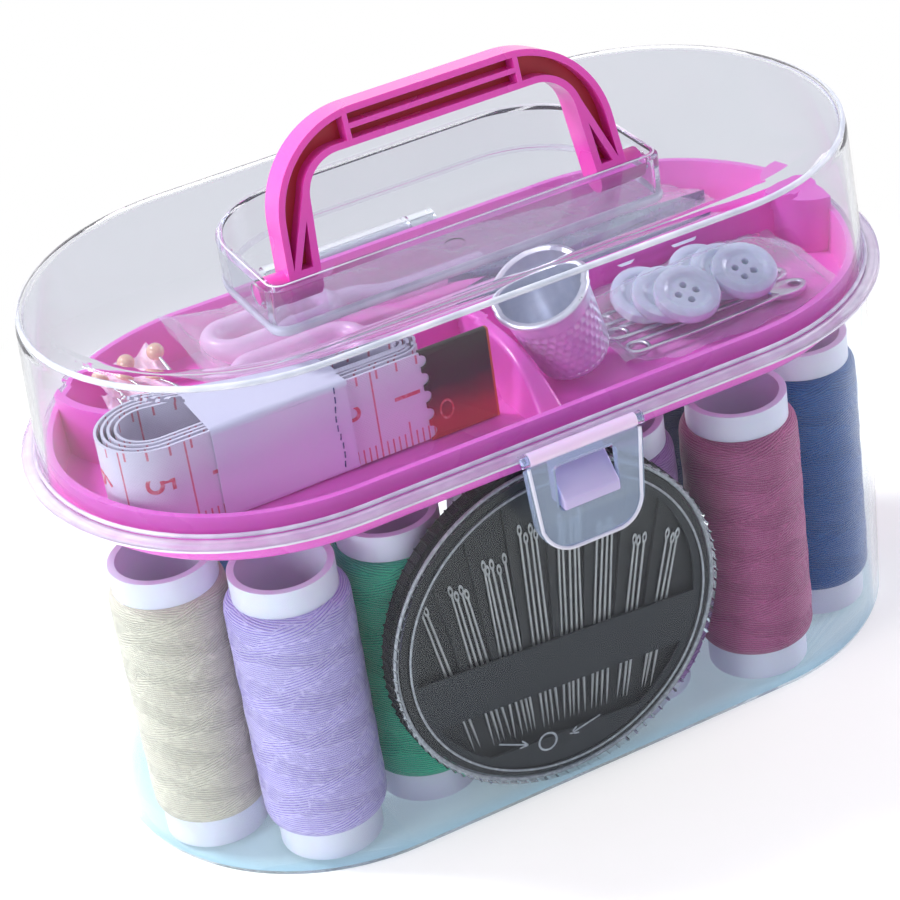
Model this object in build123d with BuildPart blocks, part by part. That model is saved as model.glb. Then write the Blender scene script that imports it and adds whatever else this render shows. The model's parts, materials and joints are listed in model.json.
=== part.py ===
from build123d import *

import os
from math import acos, atan2, cos, hypot, pi, radians, sin

os.makedirs("parts", exist_ok=True)

# Sewing box, millimetres. X runs along the box, the front faces -Y, Z is up, and the base stands on Z = 0.

# Plan of the box: a long shape with half-round ends
straight_half = 29.6
small_gap = 0.2
running_gap = 0.06
film_gap = 0.3

# Heights in the tub: the needle case stands on its floor, and the tray hangs just above the case
tub_floor = 1.0
case_radius = 24.8
tray_over_case = 0.3
tray_sink = 3.8
tray_floor_z = tub_floor + small_gap / 2 + 2 * case_radius + tray_over_case
tub_height = tray_floor_z + tray_sink

# Tub
tub_rim_radius = 31.0
tub_taper = 0.8
tub_base_radius = tub_rim_radius - tub_taper
tub_wall = 1.0
tub_base_fillet = 2.0

# Tray lip and the seat of the lid above it
lip_height = 0.7
lip_radius = tub_rim_radius - small_gap
lip_rear_inset = 1.35
lip_rear_radius = tub_rim_radius - lip_rear_inset
lip_rear_y = 11.0
lid_seat_z = tub_height + lip_height + small_gap

# Lid
lid_height = 22.5
lid_seat_inset = 0.15
lid_taper = 1.45
lid_seat_radius = tub_rim_radius - lid_seat_inset
lid_top_radius = lid_seat_radius - lid_taper
lid_wall = 1.0
lid_top_fillet = 3.0
flange_reach = 1.9
flange_radius = tub_rim_radius + flange_reach
flange_drop = 0.5
flange_thickness = 1.2
flange_fillet = 0.4

# Handle pocket in the lid's top, as wide as the handle and its pins need
handle_foot_half = 25.5
pocket_side_room = 2.8
pocket_front_y = -9.0
pocket_rear_y = 18.3
pocket_half_width = handle_foot_half + pocket_side_room
pocket_depth = 6.4
pocket_rear_fillet = 13.2
pocket_front_fillet = 1.5
gate_mark_y = -3.1
gate_mark_radius = 1.4
gate_mark_depth = 0.2

# Handle, made upright and then leaned back about its pins, as it stands in the photo
handle_lean = 12.0
handle_depth = 4.8
handle_rear_y = -2.2
handle_bar_height = 5.2
handle_leg_width = 4.5
handle_taper = 1.8
handle_top_half = handle_foot_half - handle_taper
handle_height = 20.75
handle_outer_fillet = 13.6
handle_inner_fillet = 5.2
handle_floor_gap = 0.95
channel_depth = 2.4
channel_edge = 0.9
channel_drop = 18.6
rib_half_length = 12.5
rib_thickness = 0.7
leg_rib_width = 1.0
leg_rib_drop = 8.2
leg_rib_foot_inset = 1.7
pin_radius = 1.5
pin_collar_radius = 2.3
pin_end_play = 0.4
pin_entry = 0.8

# Latch and its catch
latch_bead_radius = 0.9
latch_bead_half = 7.9
latch_clearance = 0.05
latch_set_down = 0.4
latch_end_play = 0.1
latch_shoulder_drop = 0.6
latch_trunnion_radius = 0.5
latch_lug_thickness = 0.9
latch_plate_thickness = 1.2
latch_top_half = 8.6
latch_foot_half = 7.8
latch_length = 14.7
latch_corner_fillet = 4.6
latch_kink_rise = 4.2
latch_kink_out = 0.8
window_half = 4.5
window_top_drop = 2.2
window_height = 6.8
window_fillet = 0.7
catch_gap = 0.4
catch_reach = 1.35
catch_rest = 0.6
catch_nose = 1.1

# Rear hinge of the lid
hinge_axis_out = 4.4
hinge_pin_radius = 1.0
hinge_barrel_radius = 2.0
hinge_knuckle_half = 9.6
hinge_ear_width = 4.0
hinge_side_gap = 0.3
hinge_ear_drop = 7.2

# Tray
tray_rim_rise = 3.0
tray_rim_inset = 1.7
tray_taper = 0.6
tray_rim_radius = tub_rim_radius - tray_rim_inset
tray_floor_radius = tray_rim_radius - tray_taper
tray_wall = 0.9
tray_base_fillet = 1.5
divider_y = 1.0
divider_thickness = 1.2
divider_above_rim = 1.8
divider_turn_x = -36.0
divider_turn_radius = 17.0
divider_flare = 6.5
cross_rib_x = 1.8
cross_rib_top = 2.0
cross_rib_foot = 4.4
cross_rib_flat_y = -9.0
cross_rib_foot_y = -24.5
cross_rib_fillet = 0.8

# Needle case
case_x = -4.1
case_front_inset = 2.1
case_front_y = case_front_inset - tub_rim_radius
case_cover_plate = 0.8
case_cover_skirt = 1.0
case_cover_depth = 2.3
case_base_flange = 2.0
case_depth = 4.5
case_back_y = case_front_y + case_depth
case_rim_wall = 1.1
case_teeth = 96
case_tooth_depth = 0.3
case_bead = 0.3
card_thickness = 0.4
card_turn = -3.3
card_rim = 1.0
card_window_top = -2.6
card_lower_top = -10.2
card_lower_bottom = -18.0
exit_hole_radius = 1.1
exit_hole_z = -18.9

# Needles in the case
needle_radius = 0.3
needle_pitch = 0.74
needle_slot_pitch = 4.72
needle_lean_rate = 0.82
needle_tip_length = 3.0
needle_tip_radius = 0.06
needle_low_z = -16.6
needle_counts = (2, 4, 5, 4, 5, 4, 3, 3)
needle_eye_heights = (10.2, 11.2, 13.2, 16.4, 16.4, 13.4, 9.6, 8.4)
slat_width = 1.0

# Spools
tube_radius = 7.1
tube_bore_radius = 6.1
tube_floor = 1.2
tube_height = 44.0
thread_bottom_rise = 4.4
thread_top_drop = 3.9
thread_shoulder = 1.8
thread_neck = 0.5
spool_row_gap = 8.9

# At the tub's ends: name, side, distance in from the end, y, thread radius
end_spools = (
    ("beige", -1, 10.9, -6.4, 7.9),
    ("blue", 1, 14.3, -12.1, 8.1),
)
# Along its front and back: name, x, side, distance in from the wall's rim, thread radius
wall_spools = (
    ("lavender", -37.8, -1, 12.4, 8.5),
    ("rose", 30.8, -1, 10.9, 8.3),
    ("sky", -40.4, 1, 13.7, 8.1),
    ("yellow", -10.0, 1, 10.8, 8.1),
    ("navy", 40.2, 1, 13.7, 8.2),
)
# In a row behind the needle case: name, x, thread radius
row_spools = (
    ("green", -21.1, 8.1),
    ("white", -3.6, 8.1),
    ("mauve", 13.8, 8.2),
)
spools = []
for name, side, inset, y, thread_radius in end_spools:
    spools.append((name, side * (straight_half + tub_rim_radius - inset), y, thread_radius))
for name, x, side, inset, thread_radius in wall_spools:
    spools.append((name, x, side * (tub_rim_radius - inset), thread_radius))
for name, x, thread_radius in row_spools:
    spools.append((name, x, case_back_y + spool_row_gap, thread_radius))

# Tape measure: flat loops, wide at the left end and narrow at the right
tape_width = 13.0
tape_thickness = 0.4
tape_pitch = 0.86
tape_turns = 4
tape_front_y = -14.9
tape_left_x = -47.9
tape_right_x = -14.5
tape_left_radius = 6.9
tape_right_radius = 3.5
tape_tip_x = -2.5
tape_tip_length = 10.2
tape_tip_thickness = 1.0
tape_tip_lap = 3.0
tape_tip_edge = 0.2
tape_fit = 0.02
scallops = 5
band_left_x = -40.0
band_right_x = -24.0
band_thickness = 0.15
band_gap = 0.15

# Thimble
thimble_height = 14.4
thimble_rim_radius = 7.0
thimble_rim_bead = 0.5
thimble_mouth_radius = 6.5
thimble_crown_radius = 5.3
thimble_crown_round = 1.2
thimble_wall = 0.5
thimble_lean = 24.0
thimble_turn = 205.0
thimble_x = 11.8
thimble_y = -11.0

# Shirt buttons: two leaning stacks
button_radius = 4.75
button_thickness = 1.9
button_dish_radius = 3.1
button_dish_depth = 0.5
button_hole_radius = 0.55
button_hole_offset = 0.95
button_lean = 25.0
button_layers = 3
button_layer_pitch = 2.0
button_slip_x = -1.7
button_slip_up = 2.5
button_rise = 4.6
button_stacks = ((29.3, -11.7), (38.9, -11.3))

# Film bag round the buttons
bag_left_x = 16.2
bag_right_x = 49.8
bag_front_y = -18.0
bag_rear_y = 0.0
bag_height = 9.4
bag_wall = 0.1
bag_fillet = 1.6

# Safety pins under the buttons: centre and turn of each
safety_pin_length = 30.0
safety_pin_width = 4.0
safety_pin_wire = 0.7
safety_pin_cap = 6.0
safety_pins_at = ((33.0, -13.4, 0.8), (32.6, -8.7, -0.6), (32.8, -4.0, 0.4))

# Scissors
scissor_pivot_x = 20.0
scissor_pivot_y = 15.5
scissor_rise = 1.2
blade_length = 29.3
blade_width = 5.4
blade_thickness = 1.0
blade_gap = 0.1
tang_length = 14.0
tang_width = 2.4
tang_offset = 3.2
grip_loop_width = 9.4
grip_loop_length = 21.0
grip_wall = 2.1
grip_thickness = 2.6
grip_arm_width = 3.4
grip_left = 50.0
rivet_radius = 1.1
rivet_head_radius = 2.2
rivet_head = 0.5

# Film sleeve round the scissors
sleeve_left_x = -34.0
sleeve_right_x = 50.6
sleeve_front_y = 2.4
sleeve_rear_y = 27.0
sleeve_right_rear_y = 17.6
sleeve_bend_x = 30.0
sleeve_height = 8.0
sleeve_wall = 0.1
sleeve_fillet = 2.0

# Card with pearl-headed pins, leaning at the left end
pin_card_x = -41.6
pin_card_y = 14.0
pin_card_rise = 4.9
pin_card_length = 14.0
pin_card_width = 10.0
pin_card_thickness = 1.4
pin_card_along = (0.9, 0, 0.2)
pin_card_tilt = (-0.2, -0.36, 0.9)
pearl_radius = 1.5
pearl_pin_radius = 0.35
pearl_pin_length = 11.0
pearl_pin_pitch = 3.2
pearl_pins = 3


def wall_radius(base, top, height, z):
    return base + (top - base) * z / height


def slot_at(z, radius):
    with BuildSketch(Plane.XY.offset(z)) as outline:
        SlotCenterToCenter(2 * straight_half, 2 * radius)
    return outline.sketch


def finish(part, name):
    part.label = name
    export_step(part, f"parts/{name}.step")


# Tub: tapered shell, catch for the latch, ears for the lid's hinge
tub_inner_base = wall_radius(tub_base_radius, tub_rim_radius, tub_height, tub_floor) - tub_wall
hinge_y = tub_rim_radius + hinge_axis_out
flange_bottom = lid_seat_z - flange_drop
hinge_z = flange_bottom
flange_top = flange_bottom + flange_thickness
latch_y = -(flange_radius + latch_bead_radius + latch_clearance)
latch_z = flange_top - latch_set_down
plate_inner_y = latch_y + latch_plate_thickness / 2 - latch_clearance
plate_outer_y = plate_inner_y - latch_plate_thickness
window_top_z = latch_z - window_top_drop
window_bottom_z = window_top_z - window_height
catch_tip_y = latch_y - catch_reach
catch_root_y = -tub_rim_radius + tub_wall / 2
ear_inner = hinge_knuckle_half + hinge_side_gap

with BuildPart() as tub:
    loft([slot_at(0, tub_base_radius), slot_at(tub_height, tub_rim_radius)])
    fillet(tub.faces().sort_by(Axis.Z)[0].edges(), radius=tub_base_fillet)
    loft(
        [slot_at(tub_floor, tub_inner_base), slot_at(tub_height, tub_rim_radius - tub_wall)],
        mode=Mode.SUBTRACT,
    )
    with BuildSketch(Plane.YZ) as catch_profile:
        with BuildLine():
            Polyline(
                (catch_root_y, window_top_z - catch_gap),
                (catch_root_y - catch_gap, window_top_z - catch_gap),
                (catch_tip_y + catch_gap, window_bottom_z + catch_gap + catch_nose + catch_rest),
                (catch_tip_y, window_bottom_z + catch_gap + catch_nose),
                (catch_tip_y, window_bottom_z + catch_gap + small_gap),
                (catch_root_y, window_bottom_z + catch_gap),
                close=True,
            )
        make_face()
    extrude(amount=window_half - catch_gap, both=True)
    for side in (-1, 1):
        ear_start = side * ear_inner
        with BuildSketch(Plane.YZ.offset(ear_start)):
            with Locations((hinge_y, hinge_z)):
                Circle(hinge_barrel_radius)
            with BuildLine():
                Polyline(
                    (tub_rim_radius - tub_wall, hinge_z - hinge_ear_drop),
                    (tub_rim_radius - tub_wall, hinge_z - 2 * small_gap),
                    (hinge_y, hinge_z - 2 * small_gap),
                    (hinge_y + hinge_barrel_radius, hinge_z),
                    close=True,
                )
            make_face()
        extrude(amount=side * hinge_ear_width)
    loft(
        [slot_at(tub_floor, tub_inner_base), slot_at(tub_height, tub_rim_radius - tub_wall)],
        mode=Mode.SUBTRACT,
    )
    with BuildSketch(Plane.YZ):
        with Locations((hinge_y, hinge_z)):
            Circle(hinge_pin_radius)
    extrude(amount=ear_inner + hinge_ear_width, both=True, mode=Mode.SUBTRACT)
finish(tub.part, "tub")

# Hinge pin, pressed into the tub's ears
with BuildPart() as lid_hinge_pin:
    with BuildSketch(Plane.YZ):
        with Locations((hinge_y, hinge_z)):
            Circle(hinge_pin_radius)
    extrude(amount=ear_inner + hinge_ear_width, both=True)
finish(lid_hinge_pin.part, "lid_hinge_pin")

# Lid: the hollow is made first, with the handle pocket left standing in it
lid_top_z = lid_seat_z + lid_height
pocket_floor_z = lid_top_z - pocket_depth
pocket_mid_y = (pocket_front_y + pocket_rear_y) / 2
pocket_length = pocket_rear_y - pocket_front_y
pivot_y = handle_rear_y - handle_depth / 2
pivot_z = pocket_floor_z + handle_floor_gap + handle_depth / 2
hollow_top_radius = wall_radius(lid_seat_radius, lid_top_radius, lid_height, lid_height - lid_wall) - lid_wall


def pocket_at(z, grow):
    with BuildSketch(Plane.XY.offset(z)) as outline:
        with Locations((0, pocket_mid_y)):
            Rectangle(2 * (pocket_half_width + grow), pocket_length + 2 * grow)
        rear = outline.vertices().group_by(Axis.Y)[-1]
        fillet(rear, radius=pocket_rear_fillet + grow)
        front = outline.vertices().group_by(Axis.Y)[0]
        fillet(front, radius=pocket_front_fillet + grow)
    return outline.sketch


with BuildPart() as lid_hollow:
    loft([
        slot_at(lid_seat_z, lid_seat_radius - lid_wall),
        slot_at(lid_top_z - lid_wall, hollow_top_radius),
    ])
    fillet(lid_hollow.faces().sort_by(Axis.Z)[-1].edges(), radius=lid_top_fillet - lid_wall)
    extrude(
        pocket_at(pocket_floor_z - lid_wall, lid_wall),
        amount=pocket_depth + lid_wall,
        mode=Mode.SUBTRACT,
    )

lug_start = latch_bead_half + latch_end_play
with BuildPart() as lid:
    loft([slot_at(lid_seat_z, lid_seat_radius), slot_at(lid_top_z, lid_top_radius)])
    fillet(lid.faces().sort_by(Axis.Z)[-1].edges(), radius=lid_top_fillet)
    extrude(slot_at(flange_bottom, flange_radius), amount=flange_thickness)
    flange_edges = lid.edges().group_by(Axis.Z)[0]
    fillet(flange_edges, radius=flange_fillet)
    extrude(
        slot_at(flange_bottom, tub_rim_radius + small_gap),
        amount=lid_seat_z - flange_bottom,
        mode=Mode.SUBTRACT,
    )
    for side in (-1, 1):
        with BuildSketch(Plane.YZ.offset(side * lug_start)):
            with Locations((latch_y, latch_z)):
                Circle(latch_bead_radius)
            with Locations((latch_y / 2 - flange_radius / 2 + flange_fillet, latch_z)):
                Rectangle(latch_bead_radius + 2 * flange_fillet, 2 * flange_fillet)
        extrude(amount=side * latch_lug_thickness)
    with BuildSketch(Plane.YZ):
        with Locations((latch_y, latch_z)):
            Circle(latch_trunnion_radius + running_gap)
    extrude(amount=lug_start + latch_lug_thickness, both=True, mode=Mode.SUBTRACT)
    with BuildSketch(Plane.YZ):
        with Locations((hinge_y, hinge_z)):
            Circle(hinge_barrel_radius)
        with BuildLine():
            Polyline(
                (flange_radius - lid_wall, flange_bottom + flange_fillet / 2),
                (hinge_y, flange_bottom + flange_fillet / 2),
                (hinge_y, hinge_z + hinge_barrel_radius),
                (flange_radius - lid_wall, flange_top),
                close=True,
            )
        make_face()
    extrude(amount=hinge_knuckle_half, both=True)
    with BuildSketch(Plane.YZ):
        with Locations((hinge_y, hinge_z)):
            Circle(hinge_pin_radius + running_gap)
    extrude(amount=hinge_knuckle_half, both=True, mode=Mode.SUBTRACT)
    add(lid_hollow.part, mode=Mode.SUBTRACT)
    extrude(pocket_at(pocket_floor_z, 0), amount=pocket_depth, mode=Mode.SUBTRACT)
    with BuildSketch(Plane.YZ):
        with Locations((pivot_y, pivot_z)):
            Circle(pin_radius + running_gap)
    extrude(amount=pocket_half_width + lid_wall, both=True, mode=Mode.SUBTRACT)
    with BuildSketch(Plane.XY.offset(pocket_floor_z)):
        with Locations((0, gate_mark_y)):
            Circle(gate_mark_radius)
    extrude(amount=-gate_mark_depth, mode=Mode.SUBTRACT)
finish(lid.part, "lid")

# Latch: bead and plate with a window, thumb tab kinked outwards
latch_foot_z = latch_z - latch_length
kink_z = latch_foot_z + latch_kink_rise
plate_shoulder_z = latch_z - latch_bead_radius - latch_shoulder_drop
with BuildPart() as latch:
    with BuildSketch(Plane.YZ):
        with BuildLine():
            Polyline(
                (plate_inner_y, latch_z),
                (plate_inner_y, kink_z),
                (plate_inner_y - latch_kink_out, latch_foot_z),
                (plate_outer_y - latch_kink_out, latch_foot_z),
                (plate_outer_y, kink_z),
                (plate_outer_y, latch_z),
                close=True,
            )
        make_face()
    extrude(amount=latch_top_half, both=True)
    with BuildSketch(Plane.XZ.offset(-latch_y - 2 * latch_plate_thickness)) as plate_outline:
        with BuildLine():
            Polyline(
                (-latch_bead_half, latch_z),
                (-latch_bead_half, plate_shoulder_z),
                (-latch_top_half, plate_shoulder_z - small_gap),
                (-latch_foot_half, latch_foot_z + latch_kink_out),
                (0, latch_foot_z),
                (latch_foot_half, latch_foot_z + latch_kink_out),
                (latch_top_half, plate_shoulder_z - small_gap),
                (latch_bead_half, plate_shoulder_z),
                (latch_bead_half, latch_z),
                close=True,
            )
        make_face()
        corners = plate_outline.vertices().group_by(Axis.Y)[1]
        fillet(corners, radius=latch_corner_fillet)
    extrude(amount=4 * latch_plate_thickness, mode=Mode.INTERSECT)
    with BuildSketch(Plane.YZ):
        with Locations((latch_y, latch_z)):
            Circle(latch_bead_radius)
    extrude(amount=latch_bead_half, both=True)
    with BuildSketch(Plane.YZ):
        with Locations((latch_y, latch_z)):
            Circle(latch_trunnion_radius)
    extrude(amount=lug_start + latch_lug_thickness, both=True)
    with BuildSketch(Plane.XZ.offset(-latch_y - 2 * latch_plate_thickness)) as window:
        with Locations((0, (window_top_z + window_bottom_z) / 2)):
            Rectangle(2 * window_half, window_height)
        fillet(window.vertices(), radius=window_fillet)
    extrude(amount=4 * latch_plate_thickness, mode=Mode.SUBTRACT)
finish(latch.part, "latch")

# Handle: channelled U on two pins
handle_top_z = pivot_z + handle_height
foot_z = pivot_z - handle_depth / 2


def handle_shape(plane, inset_outer, inset_inner, low_z):
    outer_low = handle_foot_half - inset_outer
    outer_high = handle_top_half - inset_outer
    inner_low = handle_foot_half - handle_leg_width + inset_inner
    inner_high = handle_top_half - handle_leg_width + inset_inner
    bar_top = handle_top_z - inset_outer
    bar_low = handle_top_z - handle_bar_height + inset_inner
    share = (low_z - foot_z) / (handle_top_z - foot_z)
    with BuildSketch(plane) as shape:
        with BuildLine():
            Polyline(
                (-(outer_low + (outer_high - outer_low) * share), low_z),
                (-outer_high, bar_top),
                (outer_high, bar_top),
                (outer_low + (outer_high - outer_low) * share, low_z),
                close=True,
            )
        make_face()
        fillet(shape.vertices().group_by(Axis.Y)[-1], radius=handle_outer_fillet - inset_outer)
        with BuildSketch(mode=Mode.SUBTRACT) as gap:
            with BuildLine():
                Polyline(
                    (-(inner_low + (inner_high - inner_low) * share), low_z),
                    (-inner_high, bar_low),
                    (inner_high, bar_low),
                    (inner_low + (inner_high - inner_low) * share, low_z),
                    close=True,
                )
            make_face()
            fillet(gap.vertices().group_by(Axis.Y)[-1], radius=handle_inner_fillet + inset_inner)
    return shape.sketch


front_plane = Plane.XZ.offset(-handle_rear_y + handle_depth)
with BuildPart() as handle:
    extrude(handle_shape(Plane.XZ.offset(-handle_rear_y), 0, 0, foot_z), amount=handle_depth)
    feet = handle.faces().group_by(Axis.Z)[0].edges().filter_by(Axis.X)
    fillet(feet, radius=handle_depth / 2 - small_gap / 2)
    extrude(
        handle_shape(front_plane, channel_edge, channel_edge, handle_top_z - channel_drop),
        amount=-channel_depth,
        mode=Mode.SUBTRACT,
    )
    bar_mid_z = handle_top_z - handle_bar_height / 2
    with BuildSketch(front_plane):
        with Locations((0, bar_mid_z)):
            Rectangle(2 * rib_half_length, rib_thickness)
        with Locations((-rib_half_length, bar_mid_z), (rib_half_length, bar_mid_z)):
            Rectangle(rib_thickness, handle_bar_height - channel_edge)
    extrude(amount=-channel_depth)
    for side in (-1, 1):
        leg_high = handle_top_half - handle_leg_width
        rib_top = (side * leg_high, handle_top_z - leg_rib_drop)
        rib_foot = (side * (handle_foot_half - leg_rib_foot_inset), handle_top_z - channel_drop)
        with BuildSketch(front_plane):
            with BuildLine():
                Polyline(
                    rib_top,
                    (rib_top[0] + side * leg_rib_width, rib_top[1]),
                    (rib_foot[0] + side * leg_rib_width / 2, rib_foot[1]),
                    (rib_foot[0] - side * leg_rib_width / 2, rib_foot[1]),
                    close=True,
                )
            make_face()
        extrude(amount=-channel_depth)
        with BuildSketch(Plane.YZ.offset(side * (handle_foot_half - handle_leg_width / 2))):
            with Locations((pivot_y, pivot_z)):
                Circle(pin_collar_radius)
        extrude(amount=side * (pocket_half_width - pin_end_play - handle_foot_half + handle_leg_width / 2))
        with BuildSketch(Plane.YZ.offset(side * handle_foot_half)):
            with Locations((pivot_y, pivot_z)):
                Circle(pin_radius)
        extrude(amount=side * (pocket_half_width + pin_entry - handle_foot_half))
pin_axis = Axis((0, pivot_y, pivot_z), (1, 0, 0))
finish(handle.part.rotate(pin_axis, -handle_lean), "handle")

# Tray: tapered shell with a lip, a long divider and a cross rib. The lip rests on the tub's rim, and is cut
# back at the rear, where the lid's wall swings down past it.
tray_rim_z = tub_height + lip_height + tray_rim_rise
tray_height = tray_rim_z - tray_floor_z
tray_lip_low_radius = wall_radius(tray_floor_radius, tray_rim_radius, tray_height, tub_height - tray_floor_z)
divider_top_z = tray_rim_z + divider_above_rim
divider_low_z = tray_floor_z + tray_wall / 2
clip_radius = tray_rim_radius - tray_wall / 2

with BuildPart() as divider:
    with BuildSketch(Plane.XY.offset(divider_low_z)):
        with BuildLine() as divider_path:
            run = Line((straight_half + tray_rim_radius, divider_y), (divider_turn_x, divider_y))
            TangentArc(
                run @ 1,
                (divider_turn_x - divider_turn_radius, divider_y + divider_turn_radius),
                tangent=run % 1,
            )
        trace(divider_path.line, line_width=divider_thickness)
        end_x = straight_half + tray_floor_radius
        half = divider_thickness / 2
        with BuildLine():
            upper = RadiusArc(
                (end_x - divider_flare, divider_y + half),
                (end_x, divider_y + half + divider_flare),
                divider_flare,
            )
            lower = RadiusArc(
                (end_x, divider_y - half - divider_flare),
                (end_x - divider_flare, divider_y - half),
                divider_flare,
            )
            Line(upper @ 1, lower @ 0)
            Line(lower @ 1, upper @ 0)
        make_face()
    extrude(amount=divider_top_z - divider_low_z)
    clip_low = slot_at(divider_low_z, tray_floor_radius - tray_wall / 2)
    clip_high = slot_at(divider_top_z, clip_radius)
    loft([clip_low, clip_high], mode=Mode.INTERSECT)

with BuildPart() as cross_rib:
    with BuildSketch(Plane.XZ.offset(-divider_y)):
        with BuildLine():
            Polyline(
                (cross_rib_x - cross_rib_foot / 2, divider_low_z),
                (cross_rib_x - cross_rib_top / 2, divider_top_z),
                (cross_rib_x + cross_rib_top / 2, divider_top_z),
                (cross_rib_x + cross_rib_foot / 2, divider_low_z),
                close=True,
            )
        make_face()
    extrude(amount=divider_y - cross_rib_foot_y)
    with BuildSketch(Plane.YZ.offset(cross_rib_x)):
        with BuildLine():
            flat = Line((divider_y, divider_top_z), (cross_rib_flat_y, divider_top_z))
            slope = TangentArc(flat @ 1, (cross_rib_foot_y, divider_low_z), tangent=flat % 1)
            Line(slope @ 1, (divider_y, divider_low_z))
            Line((divider_y, divider_low_z), flat @ 0)
        make_face()
    extrude(amount=cross_rib_foot, both=True, mode=Mode.INTERSECT)
    sides = cross_rib.faces().sort_by(Axis.X)
    crest = (sides[0].edges() + sides[-1].edges()).filter_by(
        lambda edge: edge.center().Z > tray_floor_z + 2 * tray_wall and abs(edge.tangent_at(0.5).Y) > 0.5
    )
    fillet(crest, radius=cross_rib_fillet)

with BuildPart() as tray:
    loft([slot_at(tray_floor_z, tray_floor_radius), slot_at(tray_rim_z, tray_rim_radius)])
    fillet(tray.faces().sort_by(Axis.Z)[0].edges(), radius=tray_base_fillet)
    with BuildSketch(Plane.XY.offset(tub_height)):
        add(slot_at(0, lip_radius))
        with Locations((0, lip_rear_y)):
            Rectangle(
                2 * (straight_half + lip_radius), 2 * lip_radius,
                align=(Align.CENTER, Align.MIN),
                mode=Mode.SUBTRACT,
            )
        add(slot_at(0, lip_rear_radius))
    extrude(amount=lip_height)
    loft(
        [
            slot_at(tray_floor_z + tray_wall, tray_floor_radius - tray_wall),
            slot_at(tray_rim_z, tray_rim_radius - tray_wall),
        ],
        mode=Mode.SUBTRACT,
    )
    add(divider.part)
    add(cross_rib.part)
finish(tray.part, "tray")

# Needle case: every piece turns round the case's axis, which runs along Y
case_z = tub_floor + small_gap / 2 + case_radius
case_plane = Plane(origin=(case_x, case_front_y, case_z), x_dir=(1, 0, 0), z_dir=(0, -1, 0))
flange_front = case_depth - case_base_flange
cover_inner_radius = case_radius - case_cover_skirt
spigot_radius = cover_inner_radius - running_gap
spigot_inner = spigot_radius - case_rim_wall
card_front = case_cover_plate + small_gap
needle_depth = card_front + card_thickness + small_gap / 2 + needle_radius
case_bed = needle_depth + needle_radius + small_gap / 2


def toothed_disc(depth):
    with BuildSketch(case_plane.offset(-depth)) as disc:
        Circle(case_radius - case_tooth_depth)
        with PolarLocations(case_radius - case_tooth_depth, case_teeth):
            tooth_width = pi * case_radius / case_teeth
            Polygon(
                (-case_tooth_depth, -tooth_width / 2),
                (case_tooth_depth, 0),
                (-case_tooth_depth, tooth_width / 2),
                align=None,
            )
    return disc.sketch


turned_plane = Plane(
    origin=(case_x, case_front_y, case_z),
    x_dir=(cos(radians(card_turn)), 0, sin(radians(card_turn))),
    z_dir=(0, -1, 0),
)

with BuildPart() as needle_case_base:
    extrude(toothed_disc(case_depth), amount=case_base_flange)
    with BuildSketch(case_plane.offset(-flange_front)):
        Circle(spigot_radius)
    extrude(amount=flange_front - card_front)
    with BuildSketch(case_plane.offset(-card_front)):
        Circle(spigot_inner)
    extrude(amount=card_front - case_bed, mode=Mode.SUBTRACT)
    bead_low = case_cover_plate + small_gap + 2 * case_bead
    with BuildSketch(case_plane.offset(-bead_low - case_bead)):
        Circle(case_radius)
        Circle(spigot_radius - case_bead, mode=Mode.SUBTRACT)
    extrude(amount=2 * case_bead, mode=Mode.SUBTRACT)
    for gap_count in range(1, len(needle_counts)):
        slat_x = (gap_count - len(needle_counts) / 2) * needle_slot_pitch
        with BuildSketch(turned_plane.offset(-case_bed)):
            with Locations(Location((slat_x, card_window_top), -needle_lean_rate * slat_x)):
                Rectangle(slat_width, 2 * spigot_inner, align=(Align.CENTER, Align.MIN))
            Circle(spigot_inner + case_rim_wall / 2, mode=Mode.INTERSECT)
        extrude(amount=case_bed - card_front - card_thickness - small_gap)
finish(needle_case_base.part, "needle_case_base")

with BuildPart() as needle_card:
    with BuildSketch(turned_plane.offset(-card_front - card_thickness)):
        Circle(spigot_inner - small_gap)
        with BuildSketch(mode=Mode.SUBTRACT) as upper_window:
            Circle(spigot_inner - small_gap - card_rim)
            with Locations((0, -case_radius + card_window_top)):
                Rectangle(2 * case_radius, 2 * case_radius, mode=Mode.SUBTRACT)
        with BuildSketch(mode=Mode.SUBTRACT) as lower_window:
            Circle(spigot_inner - small_gap - card_rim)
            with Locations((0, case_radius + card_lower_top)):
                Rectangle(2 * case_radius, 2 * case_radius, mode=Mode.SUBTRACT)
            with Locations((0, -case_radius + card_lower_bottom)):
                Rectangle(2 * case_radius, 2 * case_radius, mode=Mode.SUBTRACT)
    extrude(amount=card_thickness)
finish(needle_card.part, "needle_card")

with BuildPart() as needles:
    for slot_count, (count, eye_height) in enumerate(zip(needle_counts, needle_eye_heights)):
        slot_x = (slot_count - (len(needle_counts) - 1) / 2) * needle_slot_pitch
        lean = -needle_lean_rate * slot_x
        for place in range(count):
            across = (place - (count - 1) / 2) * needle_pitch
            drop = place % 2
            length = eye_height - needle_low_z - drop
            with Locations(turned_plane.offset(-needle_depth) * Location((slot_x, card_window_top), lean)):
                with Locations(Location((across, needle_low_z - card_window_top, 0), (1, 0, 0), -90)):
                    Cone(
                        needle_tip_radius, needle_radius, needle_tip_length,
                        align=(Align.CENTER, Align.CENTER, Align.MIN),
                    )
                    with Locations((0, 0, needle_tip_length)):
                        Cylinder(
                            needle_radius, length - needle_tip_length,
                            align=(Align.CENTER, Align.CENTER, Align.MIN),
                        )
finish(needles.part, "needles")

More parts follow.
